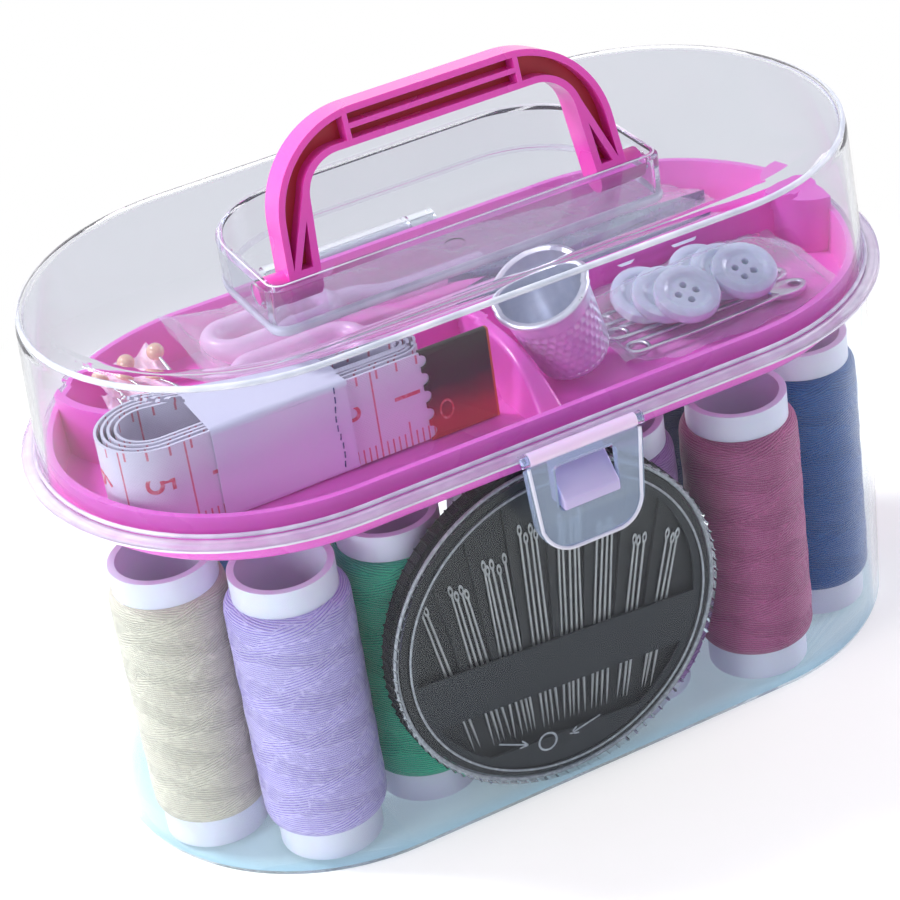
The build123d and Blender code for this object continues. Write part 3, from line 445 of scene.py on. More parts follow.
def clearFilm(name, look):
    # thin film: mostly open, whiter where it turns away and along its creases
    made, tree, shader, skin = groupMaterial(name, clearWear, skinValues(look))
    turned = node(tree, "ShaderNodeLayerWeight", {"Blend": look["edge"]}).outputs["Facing"]
    shown = maths(tree, "MULTIPLY_ADD", turned, look["rise"], look["least"], clamp=True)
    blendShader(tree, shown, openFilm(tree), shader)
    return made


def brightMetal(name, look):
    look = {**metalDefaults, **look}
    made, tree, shader = material(name)
    broad = speckle(tree, look["grain"], look["detail"])
    feed(tree, shader, {"Base Color": ramp(tree, broad, zip(look["stops"], (look["colour"], look["shade"]))),
                        "Roughness": maths(tree, "MULTIPLY_ADD", broad, look["gloss"], look["rough"]),
                        "Normal": bumped(tree, look["relief"], look["depth"], broad),
                        "Metallic": look["metal"]})
    return made


def paperMaterial(name, look):
    # fine relief and a soft change of gloss; the caller gives it its colour
    made, tree, shader = material(name)
    fine = speckle(tree, *look["fine"])
    feed(tree, shader, {"Normal": bumped(tree, look["relief"], look["depth"], fine),
                        "Roughness": maths(tree, "MULTIPLY_ADD", fine, look["gloss"], look["rough"])})
    return made, tree, shader


inkAndGlintLook = {"grain": (1600, 3), "stops": ((0.45, (0, 0, 0, 1)), (0.75, white)), "fade": 0.4}


def inkAndGlintMaterial(name, colour, rough=0.5):
    # besides print, this also draws the cover rings, whose grey is a painted highlight
    made, tree, shader = material(name)
    paler = tuple(between(part, 1, inkAndGlintLook["fade"]) for part in colour[:3]) + (1,)
    mottle = ramp(tree, speckle(tree, *inkAndGlintLook["grain"]), inkAndGlintLook["stops"])
    feed(tree, shader, {"Base Color": blendColour(tree, mottle, colour, paler), "Roughness": rough})
    return made


# Camera, lamps and floor

viewLook = {
    "azimuth": -22.872, "elevation": 31.246, "roll": -8.839, "distance": 0.385033, "aim": (0, 0, 0.040),
    "across": -0.003373, "upward": -0.001791, "lens": 109.672, "sensor": 36.0, "nearest": 0.01,
}
lampLook = {
    "key": {"at": (-0.45, 0.40, 0.75), "size": 0.20, "power": 8.6, "colour": (1.0, 0.98, 0.96)},
    "fill": {"at": (-1.00, -0.15, 0.40), "size": 0.45, "power": 7.2, "colour": (0.95, 0.97, 1.0)},
    "front": {"at": (0.10, -0.90, 0.50), "size": 0.60, "power": 0.4, "colour": (0.93, 0.96, 1.0)},
    "right": {"at": (0.95, -0.08, 0.35), "size": 0.40, "power": 5.2, "colour": (1.0, 0.96, 1.0)},
}
stageLook = {
    "world": (0.80, 0.79, 1.0, 1), "worldStrength": 0.50, "floorSize": 6.0,
    "floorColour": (0.90, 0.90, 0.82, 1),
    "floorTooth": (0.92, 0.92, 0.84, 1), "floorGrain": (300, 2), "floorStops": (0.2, 0.8), "floorRough": 0.9,
    "floorLift": 0.30, "litReach": (0.09, 0.15),
}


def setCamera():
    look = viewLook
    side, rise, turn = (radians(look[key]) for key in ("azimuth", "elevation", "roll"))
    back = Vector((sin(side) * cos(rise), -cos(side) * cos(rise), sin(rise)))
    level = Vector((0, 0, 1)).cross(back).normalized()
    upright = back.cross(level)
    right = level * cos(turn) + upright * sin(turn)
    up = upright * cos(turn) - level * sin(turn)
    at = Vector(look["aim"]) + back * look["distance"] + right * look["across"] + up * look["upward"]
    bpy.ops.object.camera_add()
    camera = bpy.context.object
    camera.name = "camera"
    camera.data.lens = look["lens"]
    camera.data.sensor_width = look["sensor"]
    camera.data.clip_start = look["nearest"]
    camera.matrix_world = Matrix((
        (right.x, up.x, back.x, at.x), (right.y, up.y, back.y, at.y), (right.z, up.z, back.z, at.z),
        (0, 0, 0, 1)))
    bpy.context.scene.camera = camera


def setLamps():
    for name, look in lampLook.items():
        bpy.ops.object.light_add(type="AREA", location=look["at"])
        lamp = bpy.context.object
        lamp.name = "lamp_" + name
        lamp.data.size = look["size"]
        lamp.data.energy = look["power"]
        lamp.data.color = look["colour"]
        toBox = Vector(viewLook["aim"]) - Vector(look["at"])
        lamp.rotation_euler = toBox.to_track_quat("-Z", "Y").to_euler()
    world = bpy.data.worlds.new("studio")
    bpy.context.scene.world = world
    world.use_nodes = True
    tree = world.node_tree
    sky = feed(tree, tree.nodes["Background"], {0: stageLook["world"], 1: stageLook["worldStrength"]})
    plain = node(tree, "ShaderNodeBackground", {0: white, 1: 1.0})
    blendShader(tree, seenRays(tree), sky, plain, "World Output")


def setFloor():
    # paper near the box, fading to plain white
    look = stageLook
    bpy.ops.mesh.primitive_plane_add(size=look["floorSize"])
    floor = added("floor")
    made, tree, shader = material("floorPaper")
    tooth = speckle(tree, *look["floorGrain"])
    seen = seenRays(tree)
    feed(tree, shader, {
        "Base Color": ramp(tree, tooth, zip(look["floorStops"], (look["floorColour"], look["floorTooth"]))),
        "Roughness": look["floorRough"], "Emission Color": white,
        "Emission Strength": maths(tree, "MULTIPLY", seen, look["floorLift"])})
    away = node(tree, "ShaderNodeVectorMath", {0: place(tree)}, operation="LENGTH").outputs["Value"]
    plain = maths(tree, "MULTIPLY", spread(tree, away, *look["litReach"], smooth=True), seen)
    blendShader(tree, plain, shader, node(tree, "ShaderNodeEmission", {0: white, 1: 1.0}))
    floor.data.materials.append(made)


bpy.context.scene.view_settings.view_transform = "Standard"
bpy.context.scene.cycles.transparent_max_bounces = 32
bpy.context.scene.cycles.max_bounces = 16
bpy.context.scene.cycles.transmission_bounces = 16
setCamera()
setLamps()
setFloor()
print("stage: camera, lamps and floor")

# Finishes

plasticLooks = {
    "trayPink": {"colour": (0.95, 0.16, 0.68, 1), "shade": (0.92, 0.13, 0.64, 1), "rough": 0.28,
                 "relief": 0.06, "coat": 0.2, "glow": 0.4},
    "handlePink": {"colour": (0.80, 0.06, 0.46, 1), "shade": (0.74, 0.04, 0.42, 1), "rough": 0.27,
                   "relief": 0.05, "coat": 0.45, "glow": 0.2},
    # painted shade for the floor of the handle's channel
    "handleRecessShade": {"colour": (0.42, 0.016, 0.028, 1), "shade": (0.50, 0.030, 0.060, 1), "rough": 0.4,
                     "relief": 0.05, "glow": 0.1},
    "tubeWhite": {"colour": (0.86, 0.84, 0.95, 1), "shade": (0.78, 0.77, 0.93, 1), "rough": 0.42,
                  "relief": 0.08, "glow": 0.3},
    "caseBlack": {"colour": (0.012, 0.013, 0.015, 1), "shade": (0.020, 0.021, 0.024, 1), "rough": 0.45,
                  "relief": 0.2, "shine": 0.3},
    "cardGrey": {"colour": (0.028, 0.030, 0.033, 1), "shade": (0.040, 0.043, 0.047, 1), "rough": 0.55,
                 "relief": 0.3, "shine": 0.2},
    "buttonPearl": {"colour": (0.74, 0.78, 0.88, 1), "shade": (0.64, 0.71, 0.85, 1), "rough": 0.22,
                    "relief": 0.08, "coat": 0.4, "glow": 0.3},
    "gripPink": {"colour": (0.99, 0.60, 0.87, 1), "shade": (0.96, 0.50, 0.81, 1), "rough": 0.3, "relief": 0.1,
                 "coat": 0.2, "glow": 0.2},
    # painted reflection: the lilac that the pink tray gives the clear catch
    "catchTrayReflection": {"colour": (0.48, 0.44, 0.68, 1), "shade": (0.58, 0.48, 0.74, 1), "rough": 0.25,
                  "relief": 0.08, "coat": 0.4, "glow": 0.3},
    # painted highlight: the pinkish white of the rod along the latch's bead
    "beadHighlight": {"colour": (0.86, 0.66, 0.84, 1), "shade": (0.78, 0.62, 0.82, 1), "rough": 0.25,
                 "relief": 0.08, "coat": 0.4, "glow": 0.3},
    "pearlHead": {"colour": (0.92, 0.52, 0.36, 1), "shade": (0.96, 0.70, 0.52, 1), "rough": 0.16,
                  "relief": 0.04, "coat": 0.6, "glow": 0.2},
}
clearLooks = {
    # the tub's foot colour is painted shade, darker and bluer than its walls
    "tubClear": {"colour": (0.895, 0.93, 0.945, 1), "shade": (0.87, 0.91, 0.93, 1), "rough": 0.03,
                 "relief": 0.03, "clear": 0.995, "bend": 1.16, "sheen": 0.02, "foot": (0.62, 0.76, 0.84, 1),
                 "footShadeRise": (1.2 * mm, 4 * mm)},
    "lidClear": {"colour": (0.83, 0.845, 0.88, 1), "shade": (0.80, 0.82, 0.86, 1), "rough": 0.03,
                 "relief": 0.03, "clear": 0.985, "bend": 1.18, "sheen": 0.1},
    "latchFrost": {"colour": (0.62, 0.73, 0.86, 1), "shade": (0.58, 0.70, 0.86, 1), "rough": 0.16,
                   "relief": 0.1, "clear": 0.75, "bend": 1.42},
    "coverClear": {"colour": (0.98, 0.98, 0.99, 1), "shade": (0.95, 0.96, 0.97, 1), "rough": 0.03,
                   "relief": 0.02, "clear": 0.995, "bend": 1.12},
}
filmLook = {"colour": (0.90, 0.94, 0.98, 1), "shade": (0.82, 0.88, 0.95, 1), "rough": 0.18, "relief": 0.4,
            "edge": 0.35, "rise": 0.5, "least": 0.05}
metalLooks = {
    "pinSteel": {"colour": (0.72, 0.73, 0.76, 1), "shade": (0.60, 0.62, 0.66, 1), "rough": 0.18,
                 "relief": 0.1, "grain": 800},
    "bladeSteel": {"colour": (0.20, 0.26, 0.36, 1), "shade": (0.13, 0.18, 0.27, 1), "rough": 0.22,
                   "relief": 0.15, "grain": 500},
    "hingeSteel": {"colour": (0.92, 0.93, 0.95, 1), "shade": (0.86, 0.87, 0.90, 1), "rough": 0.42,
                   "relief": 0.05, "grain": 700},
    "thimbleMetal": {"colour": (0.88, 0.89, 0.95, 1), "shade": (0.74, 0.77, 0.86, 1), "rough": 0.24,
                     "relief": 0.15, "grain": 600, "metal": 0.65},
    "needleSteel": {"colour": (0.46, 0.46, 0.46, 1), "shade": (0.36, 0.37, 0.38, 1), "rough": 0.25,
                    "relief": 0.05, "grain": 900},
}
plastics = {name: opaquePlastic(name, look) for name, look in plasticLooks.items()}
clears = {name: clearPlastic(name, look) for name, look in clearLooks.items()}
metals = {name: brightMetal(name, look) for name, look in metalLooks.items()}
film = clearFilm("clearFilm", filmLook)

# CAD nodes whose shape is right as it is
finishes = {
    "tub": clears["tubClear"], "lid": clears["lidClear"], "lid_hinge_pin": metals["hingeSteel"],
    "tray": plastics["trayPink"], "needle_case_base": plastics["caseBlack"],
    "needle_card": plastics["cardGrey"], "needles": metals["pinSteel"],
    "needle_case_cover": clears["coverClear"],
    "scissor_blade_left": metals["bladeSteel"], "scissor_blade_right": metals["bladeSteel"],
    "scissor_rivet": metals["bladeSteel"],
}
finishes.update({name: plastics["tubeWhite"] for name in nodes if name.startswith("spool_tube_")})
for name, finish in finishes.items():
    nodes[name].data.materials.clear()
    nodes[name].data.materials.append(finish)
print("finishes on the moulded pieces and metal")

# Wound threads

threadLook = {
    "sides": 80, "rows": 256, "shoulder": 1.9 * mm, "shoulderShare": 0.07, "returnShare": 0.03,
    "inset": 0.1 * mm, "strand": 0.36, "ridge": 0.026 * mm, "layer": 0.08 * mm, "layerPitch": 6.2,
    "tubeRadius": 7.1 * mm, "lumpTurn": 1.6, "lumpRise": 0.28, "lump": 0.7, "climb": 0.5, "sink": 0.6,
    "drift": (160, 2), "gapShadeEnd": 0.45, "bandShade": -0.10, "rough": (-0.2, 0.72), "relief": 0.8,
    "depth": 0.14 * mm, "sheen": 0.25, "sheenRough": 0.4, "shine": 0.3,
    # slope round the spool, pitch and sway of each set of strands, and the same with limits for the bands
    "strands": ((1, 1.0, 0.5), (22, 1.1, 0.8), (-30, 1.2, 0.8)),
    "bands": ((2, 1.0, 0.7, (-0.2, 0.5)), (-3, 1.4, 0.9, (0.3, 0.8))),
}
# each thread's colour, and the darker one painted in its gaps as the shade between strands
threadColours = {
    "beige": ((0.84, 0.77, 0.62, 1), (0.58, 0.50, 0.40, 1)),
    "lavender": ((0.68, 0.58, 0.92, 1), (0.34, 0.25, 0.72, 1)),
    "green": ((0.05, 0.56, 0.32, 1), (0.01, 0.24, 0.19, 1)),
    "white": ((0.80, 0.82, 0.88, 1), (0.55, 0.58, 0.68, 1)),
    "mauve": ((0.42, 0.20, 0.50, 1), (0.24, 0.10, 0.32, 1)),
    "rose": ((0.52, 0.12, 0.28, 1), (0.31, 0.06, 0.17, 1)),
    "blue": ((0.006, 0.12, 0.40, 1), (0.003, 0.05, 0.24, 1)),
    "sky": ((0.10, 0.32, 0.70, 1), (0.05, 0.18, 0.46, 1)),
    "yellow": ((0.80, 0.58, 0.10, 1), (0.55, 0.36, 0.05, 1)),
    "navy": ((0.02, 0.025, 0.11, 1), (0.01, 0.01, 0.05, 1)),
}


def buildThreadWind():
    # cross-wound thread: three sets of strands at different slopes, in bands that climb round the spool;
    # painted shade darkens the gaps between strands and one set of bands
    look = threadLook
    tree, given, out = shaderGroup("threadWind", [
        ("Turn", "Float", 0), ("Rise", "Float", 0), ("Place", "Vector", (0, 0, 0)), ("Color", "Color", white),
        ("GapShade", "Color", (0.5, 0.5, 0.5, 1))])
    given = given.outputs
    drift = speckle(tree, *look["drift"], given["Place"])

    def wave(slope, pitch, sway):
        phase = maths(tree, "ADD", maths(tree, "DIVIDE", given["Rise"], pitch),
                      maths(tree, "MULTIPLY", given["Turn"], slope))
        phase = maths(tree, "ADD", phase, maths(tree, "MULTIPLY", drift, sway))
        return maths(tree, "SINE", maths(tree, "MULTIPLY", phase, 2 * pi))

    def blend(share, first, second):
        return node(tree, "ShaderNodeMix", {0: share, 2: first, 3: second}, data_type="FLOAT").outputs[0]

    mixed, climbing, falling = (
        maths(tree, "MULTIPLY_ADD", wave(slope, look["strand"] * pitch, sway), 0.5, 0.5)
        for slope, pitch, sway in look["strands"])
    first, second = (spread(tree, wave(slope, look["layerPitch"] * pitch, sway), *limits, smooth=True)
                     for slope, pitch, sway, limits in look["bands"])
    mixed = blend(second, blend(first, mixed, climbing), falling)
    # painted shade: the gaps between strands take the darker gap colour
    share = spread(tree, mixed, 0.0, look["gapShadeEnd"], smooth=True)
    value = maths(tree, "MULTIPLY_ADD", first, look["bandShade"], 1.0)
    tinted = blendColour(tree, share, given["GapShade"], given["Color"])
    feed(tree, out, {
        "Color": node(tree, "ShaderNodeHueSaturation", {"Value": value, "Color": tinted}).outputs[0],
        "Roughness": maths(tree, "MULTIPLY_ADD", share, *look["rough"]),
        "Normal": bumped(tree, look["relief"], look["depth"], mixed)})
    return tree


threadWind = buildThreadWind()


def threadMaterial(name, height):
    colour, gap = threadColours[name]
    made, tree, shader, wind = groupMaterial("thread_" + name, threadWind, {"Color": colour, "GapShade": gap})
    across, along = parts(tree, place(tree, "UV"))[:2]
    feed(tree, wind, {"Turn": across, "Rise": maths(tree, "MULTIPLY", along, height / mm)})
    feed(tree, shader, {"Sheen Weight": threadLook["sheen"], "Sheen Roughness": threadLook["sheenRough"],
                        "Specular IOR Level": threadLook["shine"]})
    return made


def woundThread(name):
    look = threadLook
    low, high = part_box("thread_" + name)
    middle = (low + high) / 2
    outer = (high.x - low.x) / 2
    inner = look["tubeRadius"] - look["inset"]
    shoulder, shoulderShare = look["shoulder"], look["shoulderShare"]
    wallShare = 1 - 2 * shoulderShare - look["returnShare"]
    wall = high.z - low.z - 2 * shoulder

    def shape(u, v):
        # up one shoulder, the wall and the other shoulder, then back down inside, on the tube
        turn = 2 * pi * u + pi / 2
        if v < shoulderShare:
            bend = v / shoulderShare * pi / 2
            radius, cover = between(inner, outer, sin(bend)), sin(bend)
            z = low.z + shoulder * (1 - cos(bend))
        elif v < shoulderShare + wallShare:
            radius, z, cover = outer, low.z + shoulder + wall * (v - shoulderShare) / wallShare, 1
        elif v < 2 * shoulderShare + wallShare:
            bend = (1 - (v - shoulderShare - wallShare) / shoulderShare) * pi / 2
            radius, cover = between(inner, outer, sin(bend)), sin(bend)
            z = high.z - shoulder * (1 - cos(bend))
        else:
            back = (v - 2 * shoulderShare - wallShare) / look["returnShare"]
            radius, z, cover = inner, high.z + (low.z - high.z) * back, 0
        rise = (z - low.z) / mm
        strand = cos(2 * pi * (rise / look["strand"] + u))
        lumps = noise.noise(Vector((look["lumpTurn"] * cos(turn), look["lumpTurn"] * sin(turn),
                                    rise * look["lumpRise"] + middle.x / mm)))
        climb = sin(2 * pi * (rise / look["layerPitch"] + 2 * u))
        uneven = look["lump"] * lumps + look["climb"] * climb - look["sink"]
        radius += cover * (look["ridge"] * strand + look["layer"] * uneven)
        return (middle.x + radius * cos(turn), middle.y + radius * sin(turn), z)

    piece = settled(wrapped("wound_" + name, look["sides"], look["rows"], shape), smooth=60)
    height = (high.z - low.z) / (wallShare + shoulderShare)
    placed(piece, "tub", threadMaterial(name, height), "thread_" + name, ["thread_" + name])


for name in threadColours:
    woundThread(name)
print("threads wound on the ten spools")

# Tape measure

tapeLook = {
    "width": 13 * mm, "thickness": 0.36 * mm, "pitch": 0.86 * mm, "turns": 4, "frontY": -14.9 * mm,
    "leftX": -47.9 * mm, "rightX": -14.5 * mm, "leftRadius": 6.9 * mm, "rightRadius": 3.5 * mm,
    "startX": -9.7 * mm, "step": 0.4 * mm, "rows": 6, "cell": 8.7, "firstLine": 1.3, "ticks": 10,
    "flatStart": 60 * mm, "sag": 0.18 * mm, "sagReach": 18 * mm, "lean": 0.12 * mm, "leanReach": 9 * mm,
    # printed lines in mm: width, and how far up from the lower edge or down to the rear row they reach
    "tickLine": (0.24, 2.1), "halfLine": (0.26, 3.7), "wholeLine": 0.26, "rearLine": (2.9, 0.3, 0.4),
    "rearStart": 11.6, "printEnd": 12.9, "mottle": (1400, 2), "wornInk": (0.5, 0.55), "soft": (90, 2),
    "weave": 16, "relief": 0.25, "depth": 0.08 * mm, "rough": (0.15, 0.38), "coat": 0.15,
    "digitSize": 5.4 * mm, "digits": {"1": 0, "2": 1, "4": 3, "5": 4, "6": 5, "7": 6}, "digitRise": 7.6 * mm,
    "digitDepth": 0.02 * mm, "digitLift": 0.03 * mm, "digitSteps": 6,
    "ink": (0.72, 0.10, 0.16, 1), "cloth": (0.86, 0.84, 0.90, 1), "clothShade": (0.76, 0.72, 0.86, 1),
}


def tapePath():
    # flat loops: half turns of two sizes, joined by straight runs
    look = tapeLook
    points = []

    def arc(x, y, radius, first, last):
        count = max(6, int(abs(first - last) * radius / look["step"]))
        for part in range(count + 1):
            angle = first + (last - first) * part / count
            points.append((x + radius * cos(angle), y + radius * sin(angle)))

    def run(first, last):
        count = max(1, int(hypot(last[0] - first[0], last[1] - first[1]) / look["step"]))
        for part in range(1, count):
            points.append(tuple(start + (end - start) * part / count for start, end in zip(first, last)))

    start = (look["startX"], look["frontY"])
    points.append(start)
    for turn in range(look["turns"]):
        frontY = look["frontY"] + turn * look["pitch"]
        leftRadius = look["leftRadius"] - turn * look["pitch"]
        rightRadius = look["rightRadius"] - (turn + 0.5) * look["pitch"]
        leftY, rightY = frontY + leftRadius, frontY + look["pitch"] + rightRadius
        length = hypot(look["rightX"] - look["leftX"], rightY - leftY)
        slope = atan2(rightY - leftY, look["rightX"] - look["leftX"])
        normal = slope + acos((leftRadius - rightRadius) / length)
        run(start, (look["leftX"], frontY))
        arc(look["leftX"], leftY, leftRadius, 1.5 * pi, normal)
        run(points[-1], (look["rightX"] + rightRadius * cos(normal), rightY + rightRadius * sin(normal)))
        arc(look["rightX"], rightY, rightRadius, normal, -0.5 * pi)
        start = points[-1]
    return points


tapeRoute = tapePath()
tapeReach = reachOf(tapeRoute)
tapeLength = tapeReach[-1]
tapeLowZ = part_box("tape_measure")[0].z


def onTape(along, rise, lift):
    # a place on the tape: along its length, up its width, and out from its printed face
    index, share = stretchAt(tapeReach, min(max(along, 0), tapeLength))
    (x0, y0), (x1, y1) = tapeRoute[index - 1], tapeRoute[index]
    long = hypot(x1 - x0, y1 - y0)
    outX, outY = -(y1 - y0) / long, (x1 - x0) / long
    x, y = between(x0, x1, share), between(y0, y1, share)
    return Vector((x + outX * lift, y + outY * lift, tapeLowZ + rise))


def tapeMaterial():
    look = tapeLook
    made, tree, shader = material("tapePrint")
    along, rise = parts(tree, place(tree, "UV"))[:2]
    along = maths(tree, "MULTIPLY", along, tapeLength / mm)
    rise = maths(tree, "MULTIPLY", rise, look["width"] / mm)

    def every(pitch, width, shift):
        share = maths(tree, "FRACT", maths(tree, "DIVIDE", maths(tree, "SUBTRACT", along, shift), pitch))
        return maths(tree, "LESS_THAN", share, width / pitch)

    def lines(parting, width, reach):
        ticks = every(look["cell"] / parting, width, look["firstLine"])
        return maths(tree, "MULTIPLY", ticks, maths(tree, "LESS_THAN", rise, reach))

    small, half = lines(look["ticks"], *look["tickLine"]), lines(2, *look["halfLine"])
    whole = every(look["cell"], look["wholeLine"], look["firstLine"])
    rear = maths(tree, "MULTIPLY", every(*look["rearLine"]),
                 maths(tree, "GREATER_THAN", rise, look["rearStart"]))
    ink = maths(tree, "MAXIMUM", maths(tree, "MAXIMUM", small, half), maths(tree, "MAXIMUM", whole, rear))
    mottle = speckle(tree, *look["mottle"])
    printed = maths(tree, "LESS_THAN", rise, look["printEnd"])
    ink = maths(tree, "MULTIPLY", maths(tree, "MULTIPLY", ink, printed),
                maths(tree, "MULTIPLY_ADD", mottle, *look["wornInk"], clamp=True))
    cloth = blendColour(tree, speckle(tree, *look["soft"]), look["cloth"], look["clothShade"])
    weave = maths(tree, "MULTIPLY", maths(tree, "SINE", maths(tree, "MULTIPLY", along, look["weave"])),
                  maths(tree, "SINE", maths(tree, "MULTIPLY", rise, look["weave"])))
    feed(tree, shader, {"Base Color": blendColour(tree, ink, cloth, look["ink"]),
                        "Normal": bumped(tree, look["relief"], look["depth"], weave),
                        "Roughness": maths(tree, "MULTIPLY_ADD", mottle, *look["rough"]),
                        "Coat Weight": look["coat"]})
    return made


def makeTape():
    look = tapeLook

    def shape(u, v):
        along = u * tapeLength
        sag = look["sag"] * noise.noise(Vector((along / look["sagReach"], 0.3, 0)))
        lean = look["lean"] * noise.noise(Vector((along / look["leanReach"], 4.2, v)))
        if along < look["flatStart"]:
            sag = lean = 0
        return onTape(along, v * look["width"] + sag, lean)

    piece = wrapped("tape", int(tapeLength / look["step"]), look["rows"], shape)
    modified(piece, "SOLIDIFY", thickness=look["thickness"], offset=0)
    placed(settled(edited(piece), smooth=40), "tray", tapeMaterial(), "tape_measure", ["tape_measure"])

    digits = []
    for digit, cell in look["digits"].items():
        bpy.ops.object.text_add()
        words = bpy.context.object
        words.data.body = digit
        words.data.size = look["digitSize"]
        words.data.align_x, words.data.align_y = "CENTER", "CENTER"
        words.data.extrude = look["digitDepth"]
        words.data.resolution_u = look["digitSteps"]
        pick(words)
        bpy.ops.object.convert(target="MESH")
        centre = (look["firstLine"] + (cell + 0.5) * look["cell"]) * mm
        for point in words.data.vertices:
            point.co = onTape(centre - point.co.y, look["digitRise"] - point.co.x,
                              look["thickness"] / 2 + look["digitLift"] + point.co.z)
        digits.append(edited(words))
    placed(joined(digits, "tape_numbers"), "tray", inkAndGlintMaterial("tapeInk", look["ink"]), "tape_measure")


makeTape()

bandLook = {
    "left": -42.4 * mm, "right": -23.4 * mm, "gap": 0.28 * mm, "corner": 0.9 * mm, "wall": 0.12 * mm,
    "drop": 0.2 * mm, "cornerSteps": 6, "columns": 36, "rows": 112, "crease": 0.10 * mm, "ragged": 0.35 * mm,
    "paper": (0.84, 0.83, 0.93, 1), "paperShade": (0.74, 0.72, 0.88, 1), "fine": (700, 4), "soft": (70, 1),
    "relief": 0.2, "depth": 0.1 * mm, "gloss": 0.2, "rough": 0.3, "coat": 0.2,
    "stitch": (0.015, 0.03, 0.16, 1), "stitches": 9, "stitchX": -25.4 * mm, "stitchRise": 0.9 * mm,
    "stitchSize": (0.2 * mm, 0.16 * mm, 0.95 * mm), "stitchEdge": 0.06 * mm, "stitchLift": 0.02 * mm,
    "stitchMargin": 0.6 * mm, "stitchSway": 0.2 * mm,
}


def bandOutline(x):
    # the band's loop at x: front, top, back and bottom with round corners, as (y, z) points
    look, tape = bandLook, tapeLook
    slope = 2 * (tape["leftRadius"] - tape["rightRadius"]) / (tape["rightX"] - tape["leftX"])
    front = tape["frontY"] - tape["thickness"] / 2 - look["gap"]
    back = (tape["frontY"] + 2 * tape["leftRadius"] - (x - tape["leftX"]) * slope + tape["thickness"]
            + look["gap"])
    low, high = tapeLowZ - look["drop"], tapeLowZ + tape["width"] + look["gap"]
    corner, steps = look["corner"], look["cornerSteps"]
    outline = []
    for y, z, first in ((front + corner, high - corner, pi), (back - corner, high - corner, pi / 2),
                        (back - corner, low + corner, 0), (front + corner, low + corner, -pi / 2)):
        for part in range(steps + 1):
            angle = first - pi / 2 * part / steps
            outline.append((y + corner * cos(angle), z + corner * sin(angle)))
    return outline


def makeBand():
    look = bandLook

    def shape(u, v):
        x = between(look["left"], look["right"], u)
        outline = bandOutline(x)
        walk = v * len(outline)
        index, share = int(walk) % len(outline), walk - int(walk)
        (y0, z0), (y1, z1) = outline[index], outline[(index + 1) % len(outline)]
        y, z = between(y0, y1, share), between(z0, z1, share)
        crease = look["crease"] * noise.noise(Vector((x * 130, v * 5, 1.7)))
        # the ends are torn, not cut
        ragged = look["ragged"] * noise.noise(Vector((v * 6, 3.1 * round(u), 5.2))) if u in (0.0, 1.0) else 0
        return (x + ragged, y - abs(crease), z + crease)

    band = wrapped("paper_band", look["columns"], look["rows"], shape)
    modified(band, "SOLIDIFY", thickness=look["wall"], offset=1)
    made, tree, shader = paperMaterial("bandPaper", look)
    soft = speckle(tree, *look["soft"])
    feed(tree, shader, {"Base Color": blendColour(tree, soft, look["paper"], look["paperShade"]),
                        "Coat Weight": look["coat"]})
    placed(settled(edited(band), smooth=40), "tray", made, "tape_band", ["tape_band"])

    front = tapeLook["frontY"] - tapeLook["thickness"] / 2 - look["gap"] - look["wall"] - look["stitchLift"]
    dashes = []
    reach = (tapeLook["width"] - look["stitchMargin"]) / look["stitches"]
    for count in range(look["stitches"]):
        z = tapeLowZ + look["stitchRise"] + reach * (count + 0.35)
        x = look["stitchX"] + look["stitchSway"] * sin(count)
        bpy.ops.mesh.primitive_cube_add(size=1, location=(x, front, z))
        dash = added("stitch")
        dash.scale = look["stitchSize"]
        dash.rotation_euler = (0, radians(4 + 3 * cos(2.1 * count)), 0)
        dashes.append(bevelled(settled(dash), look["stitchEdge"]))
    placed(joined(dashes, "band_stitches"), "tray", inkAndGlintMaterial("stitchInk", look["stitch"]), "tape_band")


makeBand()

tipLook = {
    "edge": 0.12 * mm, "riseStart": 2 * mm, "riseEnd": 4 * mm, "soft": (260, 2), "softShare": (0.3, -0.15),
    "stops": ((0.05, (0.48, 0.03, 0.05, 1)), (0.42, (0.20, 0.02, 0.03, 1)), (0.75, (0.035, 0.015, 0.014, 1))),
    "orange": (0.70, 0.14, 0.05, 1), "orangeWidth": 0.35 * mm, "rough": 0.3, "grain": (1500, 2),
    "relief": 0.15, "depth": 0.1 * mm, "ringAt": (-10.0 * mm, 56.0 * mm), "ringRadius": 1.15 * mm,
    "ringWire": 0.16 * mm, "ringShape": (0.8, 1.15, 0.4), "ringLift": 0.02 * mm,
    "ringInk": (0.62, 0.06, 0.08, 1), "ringRough": 0.35,
}


def makeTapeTip():
    look = tipLook
    low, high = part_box("tape_tip")
    tip = settled(bevelled(copied("tape_tip", "tape_end"), look["edge"]))
    made, tree, shader = material("tipPrint")
    at = parts(tree, place(tree))
    rise = spread(tree, at[2], low.z + look["riseStart"], high.z - look["riseEnd"])
    soft = maths(tree, "MULTIPLY_ADD", speckle(tree, *look["soft"]), *look["softShare"])
    colour = ramp(tree, maths(tree, "ADD", rise, soft), look["stops"])
    edge = maths(tree, "GREATER_THAN", at[0], high.x - look["orangeWidth"])
    grain = speckle(tree, *look["grain"])
    feed(tree, shader, {"Base Color": blendColour(tree, edge, colour, look["orange"]),
                        "Roughness": look["rough"],
                        "Normal": bumped(tree, look["relief"], look["depth"], grain)})
    placed(tip, "tray", made, "tape_tip", ["tape_tip"])
    ring = ringAdded("tape_end_ring", look["ringRadius"], look["ringWire"], 32, 8)
    ring.scale = look["ringShape"]
    ring.rotation_euler = (radians(90), 0, 0)
    ring.location = (look["ringAt"][0], low.y - look["ringLift"], look["ringAt"][1])
    placed(settled(ring), "tray", inkAndGlintMaterial("ringInk", look["ringInk"], look["ringRough"]), "tape_tip")


makeTapeTip()
print("tape measure, paper band and end piece")

# Needles

